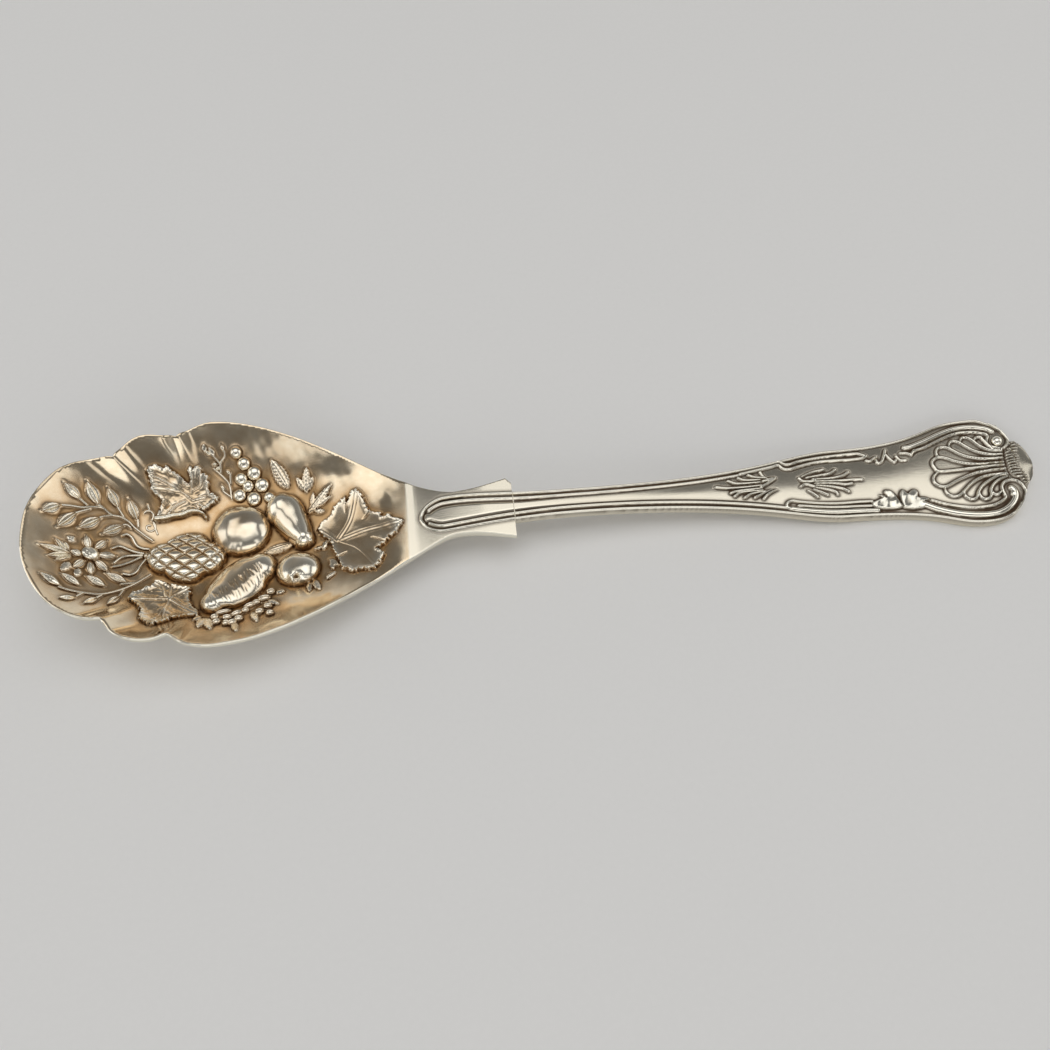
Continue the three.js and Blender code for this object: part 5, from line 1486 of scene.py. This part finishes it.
def metal(name, gilded, smooth, marks):
    """A polished precious metal with dark recesses that are partly patina and partly painted shade, rubbed
    high points and polishing marks.
    """
    finish = bpy.context.scene.spoon_finish
    made = bpy.data.materials.new(name)
    made.use_nodes = True
    tree = made.node_tree
    tree.nodes.clear()
    place = add_node(tree, "ShaderNodeTexCoord").outputs["Object"]
    masks = {key: add_node(tree, "ShaderNodeAttribute", attribute_name=key).outputs["Fac"] for key in MASKS}
    scratch = add_node(tree, "ShaderNodeGroup", node_tree=shared_group("Polishing marks", scratch_group))
    tree.links.new(place, scratch.inputs["Vector"])
    common = {"Recess": masks["recess"], "Worn": masks["worn"], "Cloud": scratch.outputs["Mask"]}

    def aged_and_shaded(**inputs):
        """Colour and roughness of the old metal with its painted shade, from its own colours and smoothness.
        """
        group = shared_group("Aged metal and painted shade", age_and_shade_group)
        node = add_node(tree, "ShaderNodeGroup", {**inputs, **common}, node_tree=group)
        return node.outputs["Color"], node.outputs["Roughness"]

    tone, rough = aged_and_shaded(Metal=rgba(finish.silver), Rubbed=rgba(finish.worn_silver),
                       Dark=rgba(finish.silver_recess), Smooth=smooth, Dull=0.5)
    if gilded:
        thin = add_node(tree, "ShaderNodeTexNoise", {
            "Vector": place, "Scale": 260.0, "Detail": 6.0, "Roughness": 0.65})
        drift = calc(tree, "MULTIPLY_ADD", thin.outputs[0], 0.8, -0.1)
        # Painted shade, partly a matted ground: close to raised work the shade mask turns the gilding deeper
        # and darker
        warm = calc(tree, "MULTIPLY_ADD", masks["shade"], 0.95, drift, clamp=True)
        gold_tone, gold_rough = aged_and_shaded(
            Metal=mixed(tree, warm, rgba(finish.polished_gilding), rgba(finish.gilding)),
            Rubbed=rgba(finish.worn_gilding), Dark=rgba(finish.gilt_recess),
            Smooth=calc(tree, "MULTIPLY_ADD", masks["shade"], 0.24, smooth), Dull=0.42)
        edge = calc(tree, "MULTIPLY_ADD", thin.outputs[0], 0.7, -0.35)
        cover = calc(tree, "ADD", masks["gilt"], calc(tree, "MULTIPLY", edge, masks["gilt"]), clamp=True)
        tone = mixed(tree, cover, tone, gold_tone)
        blend = add_node(tree, "ShaderNodeMix", {0: cover, 2: rough, 3: gold_rough}, data_type="FLOAT")
        rough = blend.outputs[0]
    bump = add_node(tree, "ShaderNodeBump", {
        "Strength": marks, "Distance": 0.00002, "Height": scratch.outputs["Height"]})
    shader = add_node(tree, "ShaderNodeBsdfPrincipled", {
        "Base Color": tone, "Metallic": 1.0, "Roughness": rough, "Normal": bump.outputs[0]})
    add_node(tree, "ShaderNodeOutputMaterial", {0: shader.outputs[0]})
    return made


def shared_metal(name):
    """One of the spoon's metals, made once."""
    recipes = {
        "gilt silver": {"gilded": True, "smooth": 0.12, "marks": 0.1},
        "polished silver": {"gilded": False, "smooth": 0.11, "marks": 0.1},
        "silver solder": {"gilded": False, "smooth": 0.34, "marks": 0.6},
    }
    return bpy.data.materials.get(name) or metal(name, **recipes[name])


class Workshop:
    """What the operators share: the plain form, the view of the photograph and the two reliefs, made once."""

    made = None

    @classmethod
    def ready(cls, context):
        """The form, the view, the relief of the bowl and the relief of the handle."""
        if cls.made is None:
            form = SpoonForm(context.scene.spoon_sizes)
            view = PhotoView(form)
            cls.made = form, view, chase_bowl(form, view), strike_handle(form, view)
        return cls.made


def keep(thing):
    """Puts a finished piece on the spoon's body."""
    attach(thing, "root")


def make_forms(name, source, nodes, values, form, sink):
    """Makes a piece of the bowl with a Geometry Nodes tree, masks it like the sheet and keeps it."""
    tree, names = nodes
    made = node_result(source, tree, names, {**values, "Finish": shared_metal("gilt silver")}, name)
    mask_forms(made, form, sink, gilt=1.0)
    keep(made)


def leaf_places(view, leaves, height):
    """Plan places of leaves or petals that are given by pixels."""
    return [(*view.places([base, tip], 0.3 * height), 0.9 * width / PIXELS_PER_MM, height)
            for base, tip, width in leaves]


class SPOON_OT_bowl(bpy.types.Operator):
    """Make the chased and gilt bowl with its shoulder plate"""
    bl_idname = "spoon.bowl"
    bl_label = "Chased Bowl"

    def execute(self, context):
        """Builds the bowl in place of its plain solid."""
        form, _, relief, _ = Workshop.ready(context)
        bowl = build_bowl(form, relief, shared_metal("gilt silver"))
        bowl.data.set_sharp_from_angle(angle=SHARP_FROM)
        keep(bowl)
        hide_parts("bowl")
        return {"FINISHED"}


class SPOON_OT_fruit_sprays(bpy.types.Operator):
    """Make the leaves of the sprays, the petals of the flower and the crown of the pineapple"""
    bl_idname = "spoon.fruit_sprays"
    bl_label = "Sprays and Flower"

    LEAF = {"Sharpness": 0.55, "Cup depth": 0.6, "Tooth depth": 0.06, "Tooth rate": 19.0, "Facets round": 36}
    PETAL = {"Sharpness": 0.3, "Cup depth": 0.55, "Fold depth": 0.3, "Fold width": 0.12, "Facets round": 32}
    BUD = {"Sharpness": 0.4, "Fold depth": 0.4, "Fold width": 0.14, "Facets round": 24}
    STEM = {"Thickness": STEM_RADIUS * MM, "Facets round": 12}

    def execute(self, context):
        """Builds leaves, petals and stems on the bowl."""
        form, view, _, _ = Workshop.ready(context)
        forms, wires = raised_form_tree(), wire_tree()
        for name, leaves, height, shape in (("spray_leaves", SPRAY_LEAVES + FAN_LEAF, 0.75, self.LEAF),
                                            ("flower_petals", PETALS, 0.6, self.PETAL),
                                            ("vine_buds", BUDS, 0.6, self.BUD)):
            points = placed_points(form, leaf_places(view, leaves, height))
            make_forms(name, points, forms, shape, form, sink=0.24)
        stems = [(view.curve(path), 1.2, 0.8) for path in SPRAY_STEMS + TENDRIL_CURLS]
        crown = [(view.curve(path, 0.3), 2.3, 0.7) for path in CROWN_LEAVES]
        for name, paths, lift in (("spray_stems", [*stems, (self.tendril(view), 1.1, 0.8)], 0.1),
                                  ("pineapple_crown", crown, 0.2)):
            make_forms(name, laid_curves(form, paths, lift), wires, self.STEM, form, sink=0.22)
        return {"FINISHED"}

    def tendril(self, view):
        """The path of the coiled tendril, from its tail inwards."""
        coil = TENDRIL_COIL
        centre = view.place(coil["centre"])
        path = [view.place(coil["tail"])]
        for k in range(coil["points"]):
            turn, radius = 1.0 - coil["turn"] * k, coil["radius"] * (1 - coil["shrink"] * k)
            path.append(centre + radius * np.array([math.cos(turn), math.sin(turn)]))
        return curve_through(path, steps=4)


class SPOON_OT_grapes(bpy.types.Operator):
    """Make the bunch of grapes and the clusters of berries"""
    bl_idname = "spoon.grapes"
    bl_label = "Grapes and Berries"

    GRAPE = {"Facets round": 32}
    BERRY = {"Fold depth": 0.5, "Fold width": 0.16, "Facets round": 26}

    def execute(self, context):
        """Builds the round and the oval fruit on the bowl."""
        form, view, _, _ = Workshop.ready(context)
        forms = raised_form_tree()
        turns = np.random.default_rng(7).uniform(-15, 30, len(BERRIES))
        grapes, berries = [], []
        for x, y, r in GRAPES:
            size = 2.1 * r / PIXELS_PER_MM, 2.2 * r / PIXELS_PER_MM, 1.25
            grapes.append(oval(view.place((x, y), 0.8), 0, size))
        for (x, y, along, across), turn in zip(BERRIES, turns):
            size = 1.05 * along / PIXELS_PER_MM, 1.15 * across / PIXELS_PER_MM, 0.8
            berries.append(oval(view.place((x, y), 0.5), turn, size))
        for name, places, shape in (("grapes", grapes, self.GRAPE), ("berries", berries, self.BERRY)):
            make_forms(name, placed_points(form, places), forms, shape, form, sink=0.48)
        return {"FINISHED"}


class SPOON_OT_handle(bpy.types.Operator):
    """Make the struck handle with its threads, loops, scrolls and shell"""
    bl_idname = "spoon.handle"
    bl_label = "Struck Handle"

    def execute(self, context):
        """Builds the handle in place of its plain solid, and finishes the solder line."""
        form, view, _, relief = Workshop.ready(context)
        silver = shared_metal("polished silver")
        handle = build_handle(form, relief, silver)
        handle.data.set_sharp_from_angle(angle=SHARP_FROM)
        keep(handle)
        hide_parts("handle")
        tree, names = raised_form_tree()
        pixel, radius = SCROLL_PEARL
        place = oval(view.place(pixel, 0.4), 0, (2 * radius, 2 * radius, radius))
        values = {"Facets round": 32, "Finish": silver}
        pearl = node_result(placed_points(form, [place]), tree, names, values, "scroll_pearl")
        mask_forms(pearl, form, sink=0.3, gilt=0.0)
        keep(pearl)
        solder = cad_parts["solder_seam"]
        solder.data.materials.clear()
        solder.data.materials.append(shared_metal("silver solder"))
        return {"FINISHED"}


class SPOON_OT_stage(bpy.types.Operator):
    """Make the floor, the lights, the world and the camera"""
    bl_idname = "spoon.stage"
    bl_label = "Studio Stage"

    FLOOR_HALF = 3.0
    # Name, place, whether it is turned to the spoon or hangs level, size and power
    LAMPS = [
        ("ceiling panel", (0.02, 0.18, 0.90), False, (1.15, 0.69), 2.3),
        ("ceiling strip", (0.135, 0.57, 0.90), False, (0.37, 0.09), 0.09),
        ("left box", (-0.80, 0.02, 0.42), True, (0.54, 0.74), 1.25),
        ("right box", (0.85, 0.10, 0.40), True, (0.56, 0.56), 1.0),
        ("left screen", (-0.60, -0.62, 0.66), True, (0.22, 0.6), 0.36),
        ("right screen", (0.60, -0.62, 0.66), True, (0.22, 0.6), 0.36),
        ("front box", (0.05, -0.90, 0.42), True, (1.0, 0.46), 1.7),
    ]
    # Position on the way from below to overhead, and brightness
    SKY = [(0.0, 0.80), (0.14, 0.72), (0.32, 0.28), (0.60, 0.19), (0.80, 0.15), (0.87, 0.18), (0.93, 0.46),
           (1.0, 0.50)]

    def execute(self, context):
        """Builds the stage round the spoon."""
        self.lay_floor(context)
        self.hang_lights()
        self.paint_world(context)
        self.set_camera(context)
        return {"FINISHED"}

    def lay_floor(self, context):
        """A wide, plain, pale floor."""
        half = self.FLOOR_HALF / MM
        corners = [(-half, -half, 0), (half, -half, 0), (half, half, 0), (-half, half, 0)]
        paper = bpy.data.materials.new("floor paper")
        paper.use_nodes = True
        tree = paper.node_tree
        shader = tree.nodes["Principled BSDF"]
        place = add_node(tree, "ShaderNodeTexCoord").outputs["Object"]
        grain = add_node(tree, "ShaderNodeTexNoise", {"Vector": place, "Scale": 900.0, "Detail": 4.0})
        shade = context.scene.spoon_finish.floor
        tone = mixed(tree, grain.outputs[0], rgba(shade, 0.97), rgba(shade))
        tree.links.new(tone, shader.inputs["Base Color"])
        shader.inputs["Roughness"].default_value = 0.85
        floor = mesh_object("floor", corners, [(0, 1, 2, 3)], paper)

    def hang_lights(self):
        """A ceiling panel and a strip whose edges the flat parts mirror, and soft boxes on three sides."""
        for name, at, turned, (width, depth), power in self.LAMPS:
            light = bpy.data.lights.new(name, "AREA")
            light.shape = "RECTANGLE"
            light.size, light.size_y, light.energy = width, depth, power
            lamp = linked_object(name, light)
            lamp.location = at
            if turned:
                lamp.rotation_euler = (-Vector(at)).to_track_quat("-Z", "Y").to_euler()

    def paint_world(self, context):
        """A pale backdrop at eye level, darker above, so that the metal has something to show."""
        world = bpy.data.worlds.new("studio")
        context.scene.world = world
        world.use_nodes = True
        tree = world.node_tree
        tree.nodes.clear()
        direction = add_node(tree, "ShaderNodeTexCoord").outputs["Generated"]
        height = add_node(tree, "ShaderNodeSeparateXYZ", {0: direction}).outputs[2]
        ramp = add_node(tree, "ShaderNodeValToRGB", {0: height})
        stops = ramp.color_ramp.elements
        for stop, (position, value) in zip(stops[:], (self.SKY[0], self.SKY[-1])):
            stop.position, stop.color = position, rgba([value] * 3)
        for position, value in self.SKY[1:-1]:
            stops.new(position).color = rgba([value] * 3)
        sky = add_node(tree, "ShaderNodeBackground", {"Color": ramp.outputs[0], "Strength": 1.0})
        add_node(tree, "ShaderNodeOutputWorld", {0: sky.outputs[0]})

    def set_camera(self, context):
        """The camera that the photograph was taken with."""
        data = bpy.data.cameras.new("camera")
        data.lens, data.sensor_width, data.clip_start = PhotoView.LENS, PhotoView.SENSOR, 0.01
        camera = linked_object("camera", data)
        axes = Matrix(PhotoView.AXES).transposed().to_4x4()
        camera.matrix_world = Matrix.Translation(Vector(PhotoView.AT) * MM) @ axes
        context.scene.camera = camera


class SPOON_PT_panel(bpy.types.Panel):
    """Sizes, finishes and the steps that build the spoon"""
    bl_idname = "SPOON_PT_panel"
    bl_label = "Berry Spoon"
    bl_space_type = "VIEW_3D"
    bl_region_type = "UI"
    bl_category = "Spoon"

    def draw(self, context):
        """Lists the properties and the operators."""
        for group in (context.scene.spoon_sizes, context.scene.spoon_finish):
            box = self.layout.box()
            for name in group.__annotations__:
                box.prop(group, name)
        for step in STEPS:
            self.layout.operator(step.bl_idname)


STEPS = (SPOON_OT_bowl, SPOON_OT_fruit_sprays, SPOON_OT_grapes, SPOON_OT_handle, SPOON_OT_stage)
CLASSES = (SpoonSizes, SpoonFinish, *STEPS, SPOON_PT_panel)


def register():
    """Registers the classes and puts the properties on the scene."""
    for entry in CLASSES:
        bpy.utils.register_class(entry)
    bpy.types.Scene.spoon_sizes = bpy.props.PointerProperty(type=SpoonSizes)
    bpy.types.Scene.spoon_finish = bpy.props.PointerProperty(type=SpoonFinish)


def unregister():
    """Takes the properties off the scene and unregisters the classes."""
    del bpy.types.Scene.spoon_finish
    del bpy.types.Scene.spoon_sizes
    for entry in reversed(CLASSES):
        bpy.utils.unregister_class(entry)


def main():
    """Builds everything."""
    register()
    view = bpy.context.scene.view_settings
    view.view_transform = "Standard"
    bpy.ops.spoon.bowl()
    bpy.ops.spoon.fruit_sprays()
    bpy.ops.spoon.grapes()
    bpy.ops.spoon.handle()
    bpy.ops.spoon.stage()


if __name__ == "__main__":
    main()
